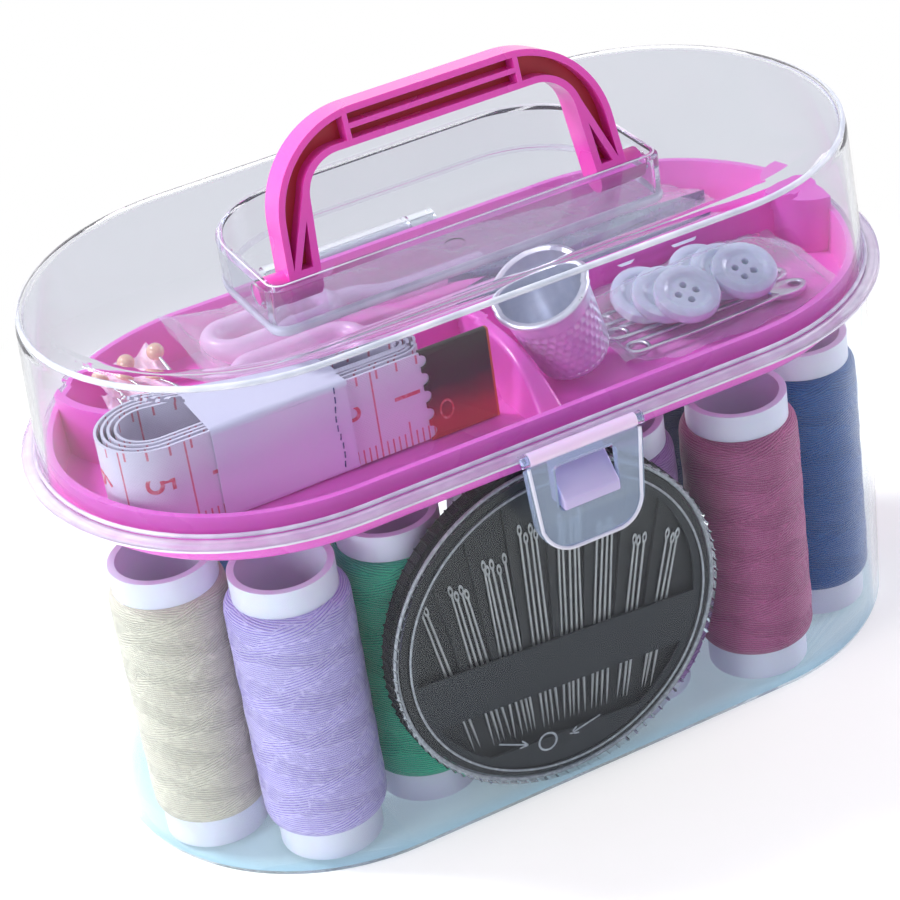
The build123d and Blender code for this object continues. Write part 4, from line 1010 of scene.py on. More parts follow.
needleLook = {
    "caseX": -4.1 * mm, "caseZ": 25.9 * mm, "frontY": -28.9 * mm, "turn": -3.3, "depth": 1.8 * mm,
    "slotPitch": 4.72 * mm, "leanRate": 0.82, "pitch": 0.78 * mm, "radius": 0.2 * mm, "lowZ": -16.6 * mm,
    "turnZ": -2.6 * mm, "sides": 10, "tip": 5.0 * mm, "headTaper": 2 * mm, "eyeLength": 1.9 * mm,
    "eyeWidth": 0.74 * mm, "eyeWire": 0.11 * mm, "uneven": 0.4, "sway": 0.9,
    "counts": (2, 4, 5, 4, 5, 4, 3, 3), "eyeHeights": (10.2, 11.2, 13.2, 16.4, 16.4, 13.4, 9.6, 8.4),
    # how thick the shaft is at shares of its tip, at the start of its head, and at both ends
    "tipScales": ((1.0, 1.0), (0.5, 0.8), (0.2, 0.5)), "headScale": 0.85, "pointScale": (0.1, 0.1),
    "topScale": (0.8, 0.6),
}


def makeNeedle(length):
    # point down at the origin, eye up: a turned shaft, tapered both ways, and a long ring for the eye
    look = needleLook
    top = length - look["eyeLength"]
    bpy.ops.mesh.primitive_cylinder_add(vertices=look["sides"], radius=look["radius"], depth=top)
    shaft = added("shaft")
    shaft.location.z = top / 2
    settled(shaft)

    def scaled(chosen, scaleX, scaleY):
        for point in shaft.data.vertices:
            if chosen(point.co.z):
                point.co.x *= scaleX
                point.co.y *= scaleY

    rows = [(look["tip"] * share, scale) for share, scale in look["tipScales"]]
    for height, scale in rows + [(top - look["headTaper"], look["headScale"])]:
        bpy.ops.object.mode_set(mode="EDIT")
        bpy.ops.mesh.select_all(action="SELECT")
        bpy.ops.mesh.bisect(plane_co=(0, 0, height), plane_no=(0, 0, 1))
        bpy.ops.object.mode_set(mode="OBJECT")
        scaled(lambda z: abs(z - height) < 1e-6, scale, scale)
    scaled(lambda z: z < 1e-6, *look["pointScale"])
    scaled(lambda z: z > top - 1e-6, *look["topScale"])
    eye = ringAdded("eye", look["eyeWidth"] / 2 - look["eyeWire"], look["eyeWire"], 20, 6)
    eye.rotation_euler.x = radians(90)
    eye.scale.y = look["eyeLength"] / look["eyeWidth"]
    eye.location.z = top + look["eyeLength"] / 2 - look["eyeWire"]
    return settled(joined([shaft, settled(eye)], "needle"), smooth=50)


def makeNeedles():
    look = needleLook
    random.seed(30)
    case = Matrix.Translation((look["caseX"], look["frontY"] + look["depth"], look["caseZ"]))
    turned = case @ Matrix.Rotation(-radians(look["turn"]), 4, "Y")
    made = []
    for slot, (count, eyeHeight) in enumerate(zip(look["counts"], look["eyeHeights"])):
        slotX = (slot - (len(look["counts"]) - 1) / 2) * look["slotPitch"]
        lean = -look["leanRate"] * slotX / mm
        for index in range(count):
            drop = (index % 2 + random.uniform(-look["uneven"], look["uneven"])) * mm
            needle = makeNeedle(eyeHeight * mm - look["lowZ"] - drop)
            across = (index - (count - 1) / 2) * look["pitch"]
            swing = Matrix.Rotation(-radians(lean + random.uniform(-look["sway"], look["sway"])), 4, "Y")
            low = Matrix.Translation((across, 0, look["lowZ"] - look["turnZ"]))
            needle.data.transform(turned @ Matrix.Translation((slotX, 0, look["turnZ"])) @ swing @ low)
            made.append(needle)
    placed(joined(made, "needle_set"), "tub", metals["needleSteel"], "needles", ["needles"])


markLook = {
    "ringAt": (-4.0 * mm, -18.9 * mm), "ringRadius": 1.35 * mm, "wire": 0.16 * mm, "y": -27.98 * mm,
    "rise": 0.6 * mm, "ringHeight": 0.25, "width": 0.24 * mm, "thick": 0.08 * mm, "edge": 0.03 * mm,
    "arrows": (((-11.3, -16.0), (-7.0, -18.1)), ((4.4, -18.2), (-0.5, -19.3))), "barb": 0.28,
    "barbTurn": 25, "ink": (0.42, 0.44, 0.45, 1),
}


def makeCaseMarks():
    # a ring and two plain arrows printed under the case's cover
    look = markLook
    centreX, centreZ = needleLook["caseX"], needleLook["caseZ"] + look["rise"]
    ring = ringAdded("ring", look["ringRadius"], look["wire"], 40, 6)
    ring.rotation_euler.x = radians(90)
    ring.scale.z = look["ringHeight"]
    ring.location = (centreX + look["ringAt"][0], look["y"], centreZ + look["ringAt"][1])
    marks = [settled(ring)]
    for arrow in look["arrows"]:
        start, end = (Vector((centreX + x * mm, look["y"], centreZ + z * mm)) for x, z in arrow)
        back = end - (end - start) * look["barb"]
        strokes = ((0, start, end), (look["barbTurn"], end, back), (-look["barbTurn"], end, back))
        for turn, first, last in strokes:
            finish = first + Matrix.Rotation(radians(turn), 3, "Y") @ (last - first)
            bpy.ops.mesh.primitive_cube_add(size=1)
            stroke = added("stroke")
            stroke.scale = ((finish - first).length, look["thick"], look["width"])
            stroke.rotation_euler.y = -atan2(finish.z - first.z, finish.x - first.x)
            stroke.location = (first + finish) / 2
            marks.append(bevelled(settled(stroke), look["edge"], segments=1))
    placed(joined(marks, "case_marks"), "tub", inkAndGlintMaterial("markInk", look["ink"]), "needle_card")


makeNeedles()
makeCaseMarks()
print("needles and the marks on their case")

# The handle and the latch get softer edges than the CAD has

softLooks = {
    "handle": {"name": "carry_handle", "width": 0.32 * mm, "segments": 3, "finish": plastics["handlePink"]},
    "latch": {"name": "snap_latch", "width": 0.22 * mm, "segments": 2, "finish": clears["latchFrost"]},
}
softLook = {"flatten": 0.6, "angle": 28, "merge": 2e-6, "smooth": 40}
recessShadeLook = {"lean": 12.0, "pinY": -4.6 * mm, "pinZ": 75.15 * mm, "low": 2.6 * mm, "reach": 0.5 * mm,
              "facing": 0.6}


def softened(nodeName, look):
    # each of these two nodes rides on a body of its own name
    piece = edited(copied(nodeName, look["name"]), merge=None, outwards=False, flatten=softLook["flatten"])
    bevelled(piece, look["width"], look["segments"], softLook["angle"], miter_outer="MITER_ARC")
    settled(edited(piece, merge=softLook["merge"], outwards=False), softLook["smooth"])
    modified(piece, "WEIGHTED_NORMAL", keep_sharp=True)
    return placed(piece, nodeName, look["finish"], nodeName, [nodeName])


def paintRecessShade(piece):
    # painted shade: the floor of the handle's channel lies in the plane of its pins and is painted a darker
    # pink for the shade in it
    look = recessShadeLook
    lean = radians(look["lean"])
    front, up = Vector((0, -cos(lean), sin(lean))), Vector((0, sin(lean), cos(lean)))
    pins = Vector((0, look["pinY"], look["pinZ"]))
    piece.data.materials.append(plastics["handleRecessShade"])
    for face in piece.data.polygons:
        away = face.center - pins
        faces = face.normal.dot(front) > look["facing"]
        if faces and away.dot(up) > look["low"] and away.dot(front) < look["reach"]:
            face.material_index = 1


softPieces = {name: softened(name, look) for name, look in softLooks.items()}
paintRecessShade(softPieces["handle"])
print("softened edges on handle and latch")

# The clear pieces' edges get painted highlights and reflections: thin milky bars along the lid, its pocket,
# the latch and the catch

# painted highlights and reflections along the clear edges; the flange's pink is the tray reflected in it
edgeGlintLooks = {
    "milkLid": {"colour": (0.56, 0.64, 0.72, 1), "front": 0.80, "rear": 0.08},
    "milkRim": {"colour": (0.50, 0.44, 0.62, 1), "front": 0.70, "rear": 0.35},
    "milkFlange": {"colour": (0.70, 0.40, 0.65, 1), "front": 0.46, "rear": 0.40},
    "milkPocket": {"colour": (0.66, 0.60, 0.76, 1), "front": 0.75, "rear": 0.12},
    "milkThin": {"colour": (0.90, 0.86, 0.95, 1), "front": 0.70, "rear": 0.18},
}
edgeGlintLook = {"cloud": (220, 2), "cloudShare": (0.5, 0.75), "pale": (0.95, 0.95, 1.0, 1), "rough": 0.35,
            "fade": (-8 * mm, 18 * mm)}
edgeLook = {
    "straightHalf": 29.6 * mm, "steps": 18, "smooth": 60,
    # radius of the round ends, height, and the bar's width, height, sides and painted glint
    "rounds": {
        "lid_top_line": (28.95 * mm, 76.8 * mm, 0.85 * mm, 0.85 * mm, 12, "milkLid"),
        "lid_rim_line": (30.95 * mm, 56.65 * mm, 0.60 * mm, 0.60 * mm, 12, "milkRim"),
        "flange_glint_band": (31.90 * mm, 55.8 * mm, 1.90 * mm, 1.30 * mm, 12, "milkFlange"),
        "flange_line": (32.85 * mm, 55.5 * mm, 0.30 * mm, 0.30 * mm, 12, "milkThin"),
    },
    "pocket": {"half": 28.3 * mm, "front": -9.0 * mm, "rear": 18.3 * mm, "frontRound": 1.5 * mm,
               "rearRound": 13.2 * mm},
    # how far out from the pocket's wall, then as above
    "pocketLines": {
        "pocket_foot_line": (0.50 * mm, 71.30 * mm, 1.40 * mm, 1.40 * mm, 10, "milkPocket"),
        "pocket_rim_line": (0.45 * mm, 78.15 * mm, 0.28 * mm, 0.28 * mm, 10, "milkThin"),
    },
}


def edgeGlintMaterial(name, look):
    # painted highlight and reflection on an edge, more solid at the front than at the rear
    made, tree, shader = material(name)
    shown = spread(tree, parts(tree, place(tree))[1], *edgeGlintLook["fade"], look["front"], look["rear"])
    cloud = speckle(tree, *edgeGlintLook["cloud"])
    feed(tree, shader, {"Base Color": blendColour(tree, cloud, look["colour"], edgeGlintLook["pale"]),
                        "Roughness": edgeGlintLook["rough"]})
    clouded = maths(tree, "MULTIPLY_ADD", cloud, *edgeGlintLook["cloudShare"])
    blendShader(tree, maths(tree, "MULTIPLY", shown, clouded, clamp=True), openFilm(tree), shader)
    return made


def roundedLoop(corners, z):
    # corners go anticlockwise as (x, y, radius, first angle), each turned through a quarter
    points = []
    for x, y, radius, first in corners:
        for step in range(edgeLook["steps"] + 1):
            angle = radians(first + 90 * step / edgeLook["steps"])
            points.append((x + radius * cos(angle), y + radius * sin(angle), z))
    return points


def makeEdges():
    half, pocket = edgeLook["straightHalf"], edgeLook["pocket"]
    bars = []
    for name, (radius, z, *bar) in edgeLook["rounds"].items():
        bars.append((name, [(half, 0, radius, -90), (half, 0, radius, 0), (-half, 0, radius, 90),
                            (-half, 0, radius, 180)], z, bar))
    for name, (grow, z, *bar) in edgeLook["pocketLines"].items():
        front, rear = pocket["frontRound"] + grow, pocket["rearRound"] + grow
        x, low, high = pocket["half"] + grow, pocket["front"] - grow, pocket["rear"] + grow
        corners = [(x - front, low + front, front, -90), (x - rear, high - rear, rear, 0),
                   (-x + rear, high - rear, rear, 90), (-x + front, low + front, front, 180)]
        bars.append((name, corners, z, bar))
    for name, corners, z, (width, height, sides, glint) in bars:
        # painted highlights and reflections: a milky bar along each edge of the lid and its pocket
        bar = barAlong(name, roundedLoop(corners, z), width, height, sides, closed=True)
        placed(settled(bar, edgeLook["smooth"]), "lid", edgeGlints[glint], "lid")


edgeGlints = {name: edgeGlintMaterial(name, look) for name, look in edgeGlintLooks.items()}
makeEdges()

latchLook = {
    "beadY": -33.85 * mm, "beadZ": 56.0 * mm, "beadHalf": 7.9 * mm, "bead": 1.86 * mm, "edgeY": -34.5 * mm,
    "topHalf": 8.2 * mm, "footHalf": 7.45 * mm, "top": 55.0 * mm, "foot": 41.65 * mm, "round": 4.3 * mm,
    "kinkZ": 45.5 * mm, "kinkOut": 0.19, "edge": 0.5 * mm, "catchHalf": 4.15 * mm, "catchRoot": -30.9 * mm,
    "catchTop": 53.45 * mm, "noseY": -35.25 * mm, "noseTop": 48.9 * mm, "noseLow": 47.4 * mm,
    "catchEdge": 0.25 * mm,
}


def makeLatchEdges():
    look = latchLook
    # painted highlight: a pinkish-white rod laid along the latch's bead
    ends = [(side * look["beadHalf"], look["beadY"], look["beadZ"]) for side in (-1, 0, 1)]
    bead = barAlong("latch_bead_glint", ends, look["bead"], sides=20)
    placed(settled(bead, smooth=50), "latch", plastics["beadHighlight"], "latch")
    # painted highlight: a thin milky line along the latch's outline, following its kink
    low = look["foot"] + look["round"]
    corner = [(-look["footHalf"] + look["round"] * (1 - cos(turn)), low - look["round"] * sin(turn))
              for turn in (radians(15 * k) for k in range(1, 7))]
    line = [(-look["topHalf"], look["top"]), (-look["footHalf"], low)] + corner + [(0, look["foot"])]
    line += [(-x, z) for x, z in reversed(line[:-1])]
    points = [(x, look["edgeY"] - look["kinkOut"] * max(0.0, look["kinkZ"] - z), z) for x, z in line]
    edge = barAlong("latch_edge_line", smoothPath(points, 3), look["edge"])
    placed(settled(edge, edgeLook["smooth"]), "latch", edgeGlints["milkThin"], "latch")

    # painted reflection: the clear catch in the window is drawn as an opaque lilac block, the colour of the
    # pink tray reflected in it
    bpy.ops.mesh.primitive_cube_add(size=2)
    catch = added("latch_catch")
    for point in catch.data.vertices:
        inner, upper = point.co.y > 0, point.co.z > 0
        y = look["catchRoot"] if inner else look["noseY"]
        z = (look["catchTop"] if inner else look["noseTop"]) if upper else look["noseLow"]
        point.co = (look["catchHalf"] * point.co.x, y, z)
    bevelled(catch, look["catchEdge"], segments=3)
    placed(settled(catch, smooth=40), "tub", plastics["catchTrayReflection"], "tub")


makeLatchEdges()

# painted highlight: the colour of the cover rings
# inset from the cover's edge, thickness and depth of each ring
ringLook = {"rings": ((0.55 * mm, 0.30 * mm, 1.1 * mm), (2.3 * mm, 0.16 * mm, 0.25 * mm)),
            "colour": (0.34, 0.35, 0.36, 1), "rough": 0.3}


def makeCoverRings():
    # painted highlight: the clear cover's rim and the step inside it catch the light, drawn as two grey rings
    low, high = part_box("needle_case_cover")
    middle, radius = (low + high) / 2, (high.x - low.x) / 2
    rings = []
    for inset, wire, deep in ringLook["rings"]:
        ring = ringAdded("ring", radius - inset, wire, 160, 8)
        ring.rotation_euler.x = radians(90)
        ring.location = (middle.x, low.y + deep, middle.z)
        rings.append(settled(ring, smooth=60))
    glint = inkAndGlintMaterial("coverRingGlint", ringLook["colour"], ringLook["rough"])
    placed(joined(rings, "cover_rings"), "needle_cover", glint, "needle_case_cover")


makeCoverRings()
print("milky edges on lid, pocket, latch and needle case")

# Thimble

thimbleLook = {
    "x": 11.8 * mm, "y": -11.0 * mm, "lean": 24.0, "turn": 205.0, "height": 14.4 * mm, "crown": 5.3 * mm,
    "crownRound": 1.3 * mm, "mouth": 6.35 * mm, "bead": 0.55 * mm, "wall": 0.5 * mm, "rise": 1.1 * mm,
    "columns": 240, "rows": 150, "crownSteps": 6, "beadSteps": 8, "beadOut": (0.35, 0.72), "innerBead": 0.4,
    "innerCrown": 0.3 * mm, "innerFloor": 0.2 * mm,
    # dents: square ones above squareFrom, round ones below it and on the crown
    "dent": 0.20 * mm, "dentRows": 1.28 * mm, "around": 30, "plainTop": 3.4 * mm, "dentStart": 0.9 * mm,
    "squareFrom": 6.2 * mm, "squareHalf": (0.46 * mm, 0.52 * mm), "roundHalf": 0.48 * mm,
    "crownFrom": 0.3 * mm, "crownPitch": 1.05, "crownHalf": 0.42 * mm,
}


def thimbleProfile():
    # outside from the crown's middle to the bead, then inside back to the middle
    look = thimbleLook
    flat, beadAt = look["crown"] - look["crownRound"], look["height"] - look["bead"]
    outer = [(0, 0), (flat, 0)]
    for k in range(1, look["crownSteps"] + 1):
        bend = pi / 2 * k / look["crownSteps"]
        outer.append((flat + look["crownRound"] * sin(bend), look["crownRound"] * (1 - cos(bend))))
    outer.append((look["mouth"], beadAt - look["bead"]))
    still, swell = look["beadOut"]
    for k in range(look["beadSteps"] + 1):
        bend = pi * k / look["beadSteps"]
        outer.append((look["mouth"] + look["bead"] * (still + swell * sin(bend)),
                      beadAt - look["bead"] * cos(bend)))
    inner = [(look["mouth"] - look["wall"], look["height"] - look["bead"] * look["innerBead"]),
             (look["crown"] - look["wall"], look["crownRound"] + look["innerCrown"]),
             (flat, look["wall"] + look["innerFloor"]), (0, look["wall"])]
    return outer, inner


def makeThimble():
    look = thimbleLook
    lean, turn = radians(look["lean"]), radians(look["turn"])
    foot = Vector((look["x"], look["y"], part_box("tray")[0].z + look["rise"] + look["crown"] * sin(lean)))
    heading = Vector((cos(turn), sin(turn), 0))
    axis = heading * sin(lean) + Vector((0, 0, cos(lean)))
    across = heading * cos(lean) - Vector((0, 0, sin(lean)))
    away = axis.cross(across)
    outer, inner = thimbleProfile()
    profile = outer + inner
    reach = reachOf(profile)
    outerEnd = reach[len(outer) - 1]

    def roundDent(dx, dy, half):
        return look["dent"] * max(0.0, 1 - (dx * dx + dy * dy) / half ** 2)

    def shape(u, v):
        along = v * reach[-1]
        index, share = stretchAt(reach, along, 1e-9)
        (r0, h0), (r1, h1) = profile[index - 1], profile[index]
        radius, height = between(r0, r1, share), between(h0, h1, share)
        if along < outerEnd and height < look["height"] - look["plainTop"]:
            if height > look["crownRound"]:
                row = (height - look["dentStart"]) / look["dentRows"]
                column = u * look["around"] + 0.5 * (int(row) % 2)
                dx = (column - int(column) - 0.5) * 2 * pi * radius / look["around"]
                dy = (row - int(row) - 0.5) * look["dentRows"]
                if height > look["squareFrom"]:
                    halfX, halfY = look["squareHalf"]
                    radius -= look["dent"] * (max(0.0, 1 - (abs(dx) / halfX) ** 4)
                                              * max(0.0, 1 - (abs(dy) / halfY) ** 4))
                else:
                    radius -= roundDent(dx, dy, look["roundHalf"])
            elif radius > look["crownFrom"]:
                ring = radius / (look["crownPitch"] * mm)
                count = max(1, int(2 * pi * round(ring) / look["crownPitch"]))
                column = u * count
                dx = (column - int(column) - 0.5) * 2 * pi * radius / count
                dy = (ring - round(ring)) * look["crownPitch"] * mm
                height += roundDent(dx, dy, look["crownHalf"])
        angle = 2 * pi * u
        return foot + axis * height + (across * cos(angle) + away * sin(angle)) * radius

    piece = settled(wrapped("thimble_cap", look["columns"], look["rows"], shape), smooth=50)
    placed(piece, "tray", metals["thimbleMetal"], "thimble", ["thimble"])


makeThimble()

# Shirt buttons: one is modelled, then copied to the stacks

buttonLook = {
    "radius": 4.7 * mm, "thick": 1.9 * mm, "dish": 3.1 * mm, "depth": 0.5 * mm, "hole": 0.55 * mm,
    "holeOff": 0.95 * mm, "lean": 25.0, "layers": 3, "pitch": 2.0 * mm, "slip": (-1.7 * mm, 2.5 * mm),
    "rise": 5.5 * mm, "stacks": ((29.3 * mm, -11.7 * mm), (38.9 * mm, -11.3 * mm)), "sides": 56,
    "edge": 0.08 * mm, "turn": 1.5,
}


def makeButtons():
    look = buttonLook
    radius, thick, dish, floor = look["radius"], look["thick"], look["dish"], look["thick"] - look["depth"]
    # floor of the dish, its raised ring, the rim and the underside
    profile = [(0, floor), (dish - 0.7 * mm, floor), (dish - 0.3 * mm, floor + 0.1 * mm),
               (dish, thick - 0.12 * mm), (dish + 0.3 * mm, thick), (radius - 0.6 * mm, thick),
               (radius - 0.15 * mm, thick - 0.2 * mm), (radius, thick - 0.6 * mm), (radius, 0.5 * mm),
               (radius - 0.2 * mm, 0.15 * mm),
               (radius - 0.7 * mm, 0), (0, 0)]

    def shape(u, v):
        out, height = profile[round(v * (len(profile) - 1))]
        return (out * cos(2 * pi * u), out * sin(2 * pi * u), height)

    button = wrapped("button", look["sides"], len(profile) - 1, shape)
    for x, y in ((1, 1), (1, -1), (-1, 1), (-1, -1)):
        drilled(button, look["hole"], (x * look["holeOff"], y * look["holeOff"], thick / 2), sides=20)
    bevelled(edited(button, outwards=False), look["edge"], angle=50)
    random.seed(12)
    made = []
    for x, y in look["stacks"]:
        for layer in range(look["layers"]):
            copy = twin(button)
            stack = (Matrix.Translation((x, y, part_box("tray")[0].z + look["rise"]))
                     @ Matrix.Rotation(radians(look["lean"]), 4, "X"))
            slipX, slipY = look["slip"]
            slip = Matrix.Translation((layer * slipX, layer * slipY, -layer * look["pitch"]))
            copy.data.transform(stack @ slip @ Matrix.Rotation(random.uniform(0, look["turn"]), 4, "Z"))
            made.append(copy)
    bpy.data.objects.remove(button)
    placed(settled(joined(made, "shirt_buttons")), "tray", plastics["buttonPearl"], "buttons", ["buttons"])


makeButtons()
print("thimble and buttons")

# Safety pins: bent wire with a coil, a pressed cap with an eye at the other end

pinLook = {
    "length": 29.6 * mm, "half": 1.55 * mm, "wire": 0.72 * mm, "coil": 1.55 * mm, "coilSteps": 18,
    "coilRise": 0.55 * mm, "cap": 6.2 * mm, "capSize": (1.95 * mm, 1.15 * mm), "capEdge": 0.3 * mm,
    "eye": 0.85 * mm, "eyeAt": (1.9 * mm, 0.1 * mm), "rise": 0.6 * mm,
    "places": ((33.0, -13.4, 0.8), (32.6, -8.7, -0.6), (32.8, -4.0, 0.4)),
}


def makeSafetyPins():
    look = pinLook
    half, end, coil = look["half"], look["length"] / 2, look["coil"]
    coilX = -end + coil + look["wire"] / 2
    # the fixed leg, the coil and the pointed leg, which springs up a little
    wire = [(end - 3.0 * mm, half, 0), (0, half, 0), (coilX + 1.5 * mm, half, 0)]
    for k in range(look["coilSteps"] + 1):
        turn = radians(90 + 30 * k)
        rise = look["coilRise"] * (k / look["coilSteps"] - 0.5)
        wire.append((coilX + coil * cos(turn), coil * sin(turn), rise))
    wire += [(coilX + 2 * mm, -half, 0.2 * mm), (0, -half, 0.1 * mm), (end - 3.4 * mm, -half * 0.6, 0.1 * mm)]
    bent = barAlong("wire", smoothPath(wire, 3), look["wire"], sides=8)
    bpy.ops.mesh.primitive_cylinder_add(vertices=40, radius=1, depth=1)
    cap = added("cap")
    cap.scale = (look["cap"] / 2, *look["capSize"])
    cap.location = (end - look["cap"] / 2, 0, 0)
    settled(cap)
    drilled(cap, look["eye"], (end - look["eyeAt"][0], look["eyeAt"][1], 0), sides=28)
    pin = joined([bent, bevelled(cap, look["capEdge"], segments=3, angle=50)], "pin")
    made = []
    for x, y, turn in look["places"]:
        copy = twin(pin)
        copy.data.transform(Matrix.Translation((x * mm, y * mm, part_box("safety_pins")[0].z + look["rise"]))
                            @ Matrix.Rotation(radians(turn), 4, "Z"))
        made.append(copy)
    bpy.data.objects.remove(pin)
    piece = settled(joined(made, "bent_pins"), smooth=50)
    placed(piece, "tray", metals["pinSteel"], "safety_pins", ["safety_pins"])


makeSafetyPins()

# Film bag and film sleeve: crumpled pillows with sealed ends

creaseLook = {"layers": 4, "sharp": 2.2, "finer": 2.1, "whole": 1.9, "middle": 0.5}
filmRoom = {"straightHalf": 29.6 * mm, "radius": 27.3 * mm}
filmShape = {"openPower": 0.5, "sealedFold": 0.35, "smooth": 32}
bagLook = {
    "left": 15.6 * mm, "right": 50.2 * mm, "front": -18.2 * mm, "rear": -0.2 * mm, "low": 52.0 * mm,
    "high": 61.4 * mm, "seal": 1.6 * mm, "opening": 7 * mm, "columns": 150, "rows": 130, "crumple": 0.75 * mm,
    "roundness": (0.7, 0.75), "middle": 0.40, "tilt": 0.13, "sinkFrom": -8.5 * mm, "sinkReach": 6 * mm,
    "sinkFlat": 0.5, "sink": 1.6 * mm, "fold": (0.16, 3.0), "sway": 0.4 * mm, "swaySeed": 1,
}
sleeveLook = {
    "left": -33.6 * mm, "right": 50.0 * mm, "front": 2.2 * mm, "rear": 26.6 * mm, "low": 52.0 * mm,
    "high": 60.6 * mm, "seal": 2.2 * mm, "opening": 9 * mm, "columns": 150, "rows": 220, "crumple": 0.8 * mm,
    "roundness": (0.8, 0.8), "lift": 4.0 * mm, "liftReach": 9 * mm, "frontLift": 0.35, "slim": 0.45,
    "slimFrom": 2 * mm, "slimReach": 28 * mm, "fold": (0.13, 8.0), "sway": 0.5 * mm, "swaySeed": 4,
}


def creased(x, y, z, scale, seed):
    # sharp folds in a film: ridges of a few layers of noise
    total, size = 0.0, 1.0
    for layer in range(creaseLook["layers"]):
        value = noise.noise(Vector((x * scale * size + seed, y * scale * size, z * scale * size - seed)))
        total += (1 - abs(value) * creaseLook["sharp"]) / size
        size *= creaseLook["finer"]
    return total / creaseLook["whole"] - creaseLook["middle"]


def makePillow(name, slot, look, level, held):
    # level(y, edge, x, v) gives the middle height and half thickness, held(spot, reach) keeps it in the tray
    midY, halfY = (look["front"] + look["rear"]) / 2, (look["rear"] - look["front"]) / 2
    powerY, powerZ = look["roundness"]

    def shape(u, v):
        x = between(look["left"], look["right"], v)
        edge = min(v, 1 - v) * (look["right"] - look["left"])
        open_ = within((edge - look["seal"]) / look["opening"]) ** filmShape["openPower"]
        angle = 2 * pi * u
        y = midY + halfY * abs(cos(angle)) ** powerY * (1 if cos(angle) > 0 else -1)
        rise = abs(sin(angle)) ** powerZ * (1 if sin(angle) > 0 else -1)
        middle, tall = level((y - midY) / halfY, y, edge, x, v)
        z = middle + tall * rise * open_
        fold = creased(x / mm, y / mm, z / mm, *look["fold"])
        sway = look["sway"] * noise.noise(Vector((u * 9, v * 3, look["swaySeed"])))
        spot = held(Vector((x + sway, y, z)), None)
        spot += (Vector((0, -cos(angle), -sin(angle))) * look["crumple"] * fold
                 * (filmShape["sealedFold"] + (1 - filmShape["sealedFold"]) * open_))
        spot.z = max(spot.z, look["low"])
        # the far corner follows the tray's round end
        past = spot.x - filmRoom["straightHalf"]
        room = filmRoom["radius"] ** 2 - past ** 2
        return held(spot, (room ** 0.5 if room > 0 else 0.0) if past > 0 else filmRoom["radius"])

    piece = settled(wrapped(name, look["columns"], look["rows"], shape), filmShape["smooth"])
    placed(piece, "tray", film, slot, [slot])


def makeBag():
    look = bagLook
    tall = look["high"] - look["low"]

    def level(share, y, edge, x, v):
        # lower behind the buttons
        sink = within((y - look["sinkFrom"]) / look["sinkReach"])
        middle = look["low"] + tall * (look["middle"] + look["tilt"] * share)
        return middle - sink * look["sink"], tall * 0.5 * (1 - look["sinkFlat"] * sink)

    def held(spot, reach):
        if reach is None:
            spot.z = max(spot.z, look["low"])
        else:
            spot.y = max(min(max(spot.y, -reach), look["rear"] + 0.1 * mm), -filmRoom["radius"])
        return spot

    makePillow("film_bag", "button_bag", look, level, held)


def makeSleeve():
    look = sleeveLook

    def level(share, y, edge, x, v):
        # slim over the blades, with its left end lifted, most at the rear
        slim = 1.0 - look["slim"] * within((x - look["slimFrom"]) / look["slimReach"])
        tall = (look["high"] - look["low"]) * 0.5 * slim
        behind = (y - look["front"]) / (look["rear"] - look["front"])
        lifted = look["lift"] * max(0.0, 1 - edge / look["liftReach"]) * (v < 0.5)
        lifted *= look["frontLift"] + (1 - look["frontLift"]) * behind
        return look["low"] + tall + lifted, tall

    def held(spot, reach):
        if reach is not None:
            spot.y = min(spot.y, max(reach, look["front"]))
            spot.y = min(max(spot.y, look["front"] - 0.1 * mm), filmRoom["radius"])
        return spot

    makePillow("film_sleeve", "scissors_sleeve", look, level, held)


makeBag()
makeSleeve()
print("film bag and film sleeve")

# Scissor grips: fat rounded loops, each with an arm to its blade

gripLook = {
    "loopX": -19.5 * mm, "pivotY": 15.5 * mm, "offset": 4.85 * mm, "half": 5.8 * mm, "turn": 3.4 * mm,
    "width": 2.9 * mm, "height": 3.9 * mm, "armWidth": 3.4 * mm, "armHeight": 2.8 * mm, "armEnd": 14.6 * mm,
    "armOff": 3.2 * mm, "rise": 0.9 * mm, "steps": 48, "sides": 16, "pathSteps": 8, "grain": 0.28 * mm,
    "ease": 0.5, "easeSteps": 6,
}


def makeGrips():
    look = gripLook
    for side, name in ((-1, "left"), (1, "right")):
        low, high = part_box("scissor_grip_" + name)
        level = (low.z + high.z) / 2
        raised = level + look["rise"]
        middle = look["pivotY"] + side * look["offset"]
        loop = []
        for k in range(look["steps"]):
            angle = 2 * pi * k / look["steps"]
            endX = look["half"] if cos(angle) > 0 else -look["half"]
            loop.append((look["loopX"] + endX + look["turn"] * cos(angle), middle + look["turn"] * sin(angle),
                         raised))
        ring = barAlong("loop", loop, look["width"], look["height"], look["sides"], closed=True)
        armY = look["pivotY"] + side * look["armOff"]
        startX = look["loopX"] + look["half"] + look["turn"]
        path = [(startX - 1 * mm, middle, raised), (startX + 4 * mm, middle, raised - 0.2 * mm),
                (startX + 10 * mm, armY + side * 0.3 * mm, level), (look["armEnd"] - 1 * mm, armY, level)]
        arm = barAlong("arm", smoothPath(path, look["pathSteps"]), look["armWidth"], look["armHeight"],
                       look["sides"])
        grip = joined([ring, arm], "grip_" + name)
        modified(grip, "REMESH", mode="VOXEL", voxel_size=look["grain"])
        modified(grip, "SMOOTH", factor=look["ease"], iterations=look["easeSteps"])
        placed(settled(grip, smooth=60), "tray", plastics["gripPink"], "scissor_grip_" + name,
               ["scissor_grip_" + name])


makeGrips()

# Pale pink pouch and the pearl-headed pins in it, leaning at the left end

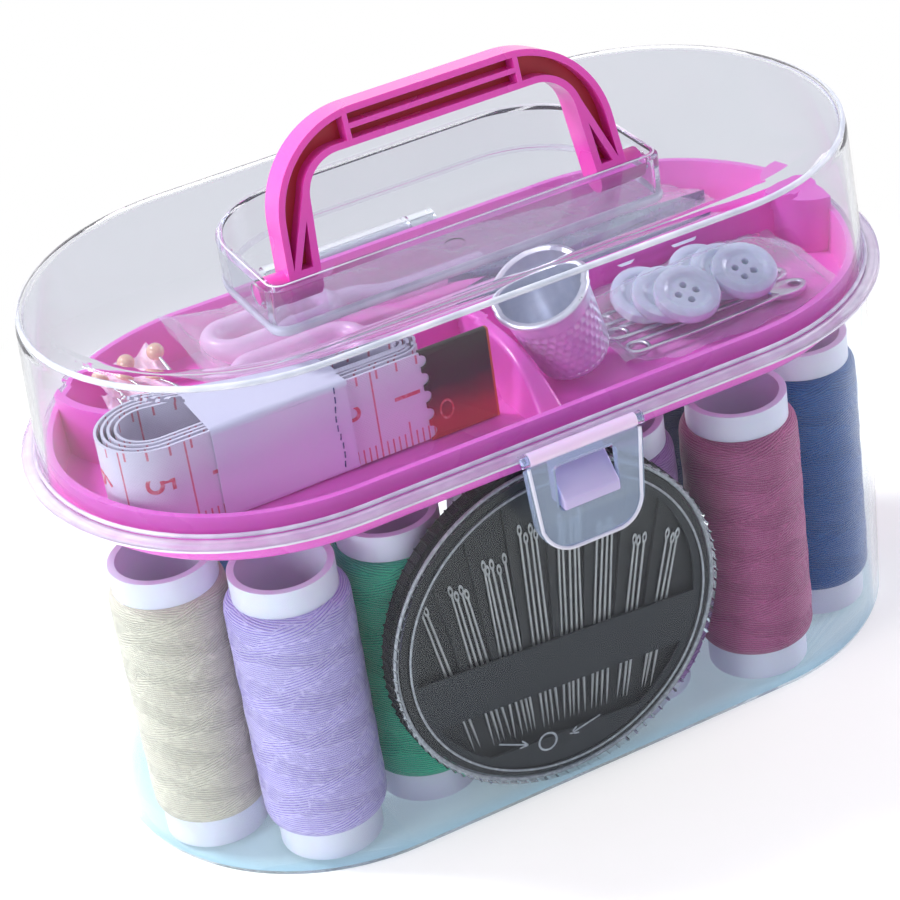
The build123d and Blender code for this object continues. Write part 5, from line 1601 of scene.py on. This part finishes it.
pouchLook = {
    "at": (-41.6 * mm, 13.6 * mm), "rise": 5.8 * mm, "along": (0.9, 0, 0.2), "tilt": (-0.2, -0.36, 0.9),
    "width": 12.0 * mm, "length": 13.6 * mm, "wall": 0.14 * mm, "narrow": 0.25, "pleats": 5,
    "pleat": 0.8 * mm, "pleatFoot": 0.35, "rumple": 0.5 * mm, "fold": (0.25, 5.0),
    "wave": 0.7 * mm, "columns": 90, "rows": 60,
    "soft": (130, 3), "stops": ((0.3, (0.95, 0.50, 0.72, 1)), (0.65, (0.97, 0.70, 0.78, 1))),
    "fine": (1300, 2), "relief": 0.2, "depth": 0.1 * mm, "gloss": 0.2, "rough": 0.35, "glow": 0.3,
    "glowDepth": 1 * mm, "pearl": 1.25 * mm, "pearls": (-3.4, 0.2, 4.4), "pearlDrop": (1.4 * mm, 0.9 * mm),
    "pearlOut": 1.9 * mm, "pearlHeight": 0.96, "shaft": 0.5 * mm, "shaftLength": 10 * mm,
    "shaftRows": ((0.05, 1), (0.4, 1), (0.85, 1), (1.0, 0.1)),
}


def makePouch():
    look = pouchLook
    origin = Vector((look["at"][0], look["at"][1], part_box("tray")[0].z + look["rise"]))
    out = Vector(look["tilt"]).normalized()
    along = Vector(look["along"]).normalized()
    along = (along - out * along.dot(out)).normalized()
    up = out.cross(along)

    def shape(u, v):
        x, y = (u - 0.5) * look["width"], (v - 0.5) * look["length"]
        depth = look["pleatFoot"] + (1 - look["pleatFoot"]) * (1 - v)
        fan = sin(u * look["pleats"] * pi + 0.8 * sin(v * 4)) * look["pleat"] * depth
        rough = look["rumple"] * creased(x / mm, y / mm, 0, *look["fold"])
        return (origin + along * x * (1 - look["narrow"] * v) + up * (y + look["wave"] * sin(u * 7))
                + out * (fan + rough))

    pouch = wrapped("pink_pouch", look["columns"], look["rows"], shape)
    modified(pouch, "SOLIDIFY", thickness=look["wall"])
    made, tree, shader = paperMaterial("pouchPaper", look)
    feed(tree, shader, {"Base Color": ramp(tree, speckle(tree, *look["soft"]), look["stops"]),
                        "Subsurface Weight": look["glow"], "Subsurface Scale": look["glowDepth"]})
    placed(settled(edited(pouch), smooth=40), "tray", made, "thread_card", ["thread_card"])

    heads, shafts = [], []
    for count, across in enumerate(look["pearls"]):
        first, step = look["pearlDrop"]
        drop = look["length"] / 2 - first - count * step
        at = origin + along * across * mm + up * drop + out * look["pearlOut"]
        bpy.ops.mesh.primitive_uv_sphere_add(segments=28, ring_count=18, radius=look["pearl"], location=at)
        head = added("head")
        head.scale.z = look["pearlHeight"]
        heads.append(settled(head, smooth=60))
        rows = [(at - up * share * look["shaftLength"], size) for share, size in look["shaftRows"]]
        line, taper = zip(*rows)
        shafts.append(barAlong("shaft", line, look["shaft"], sides=8, taper=taper))
    placed(joined(heads, "pearl_heads"), "tray", plastics["pearlHead"], "pearl_pins", ["pearl_pins"])
    placed(settled(joined(shafts, "pearl_shafts"), smooth=50), "tray", metals["pinSteel"], "pearl_pins")


makePouch()
print("scissor grips, pouch and pearl-headed pins")
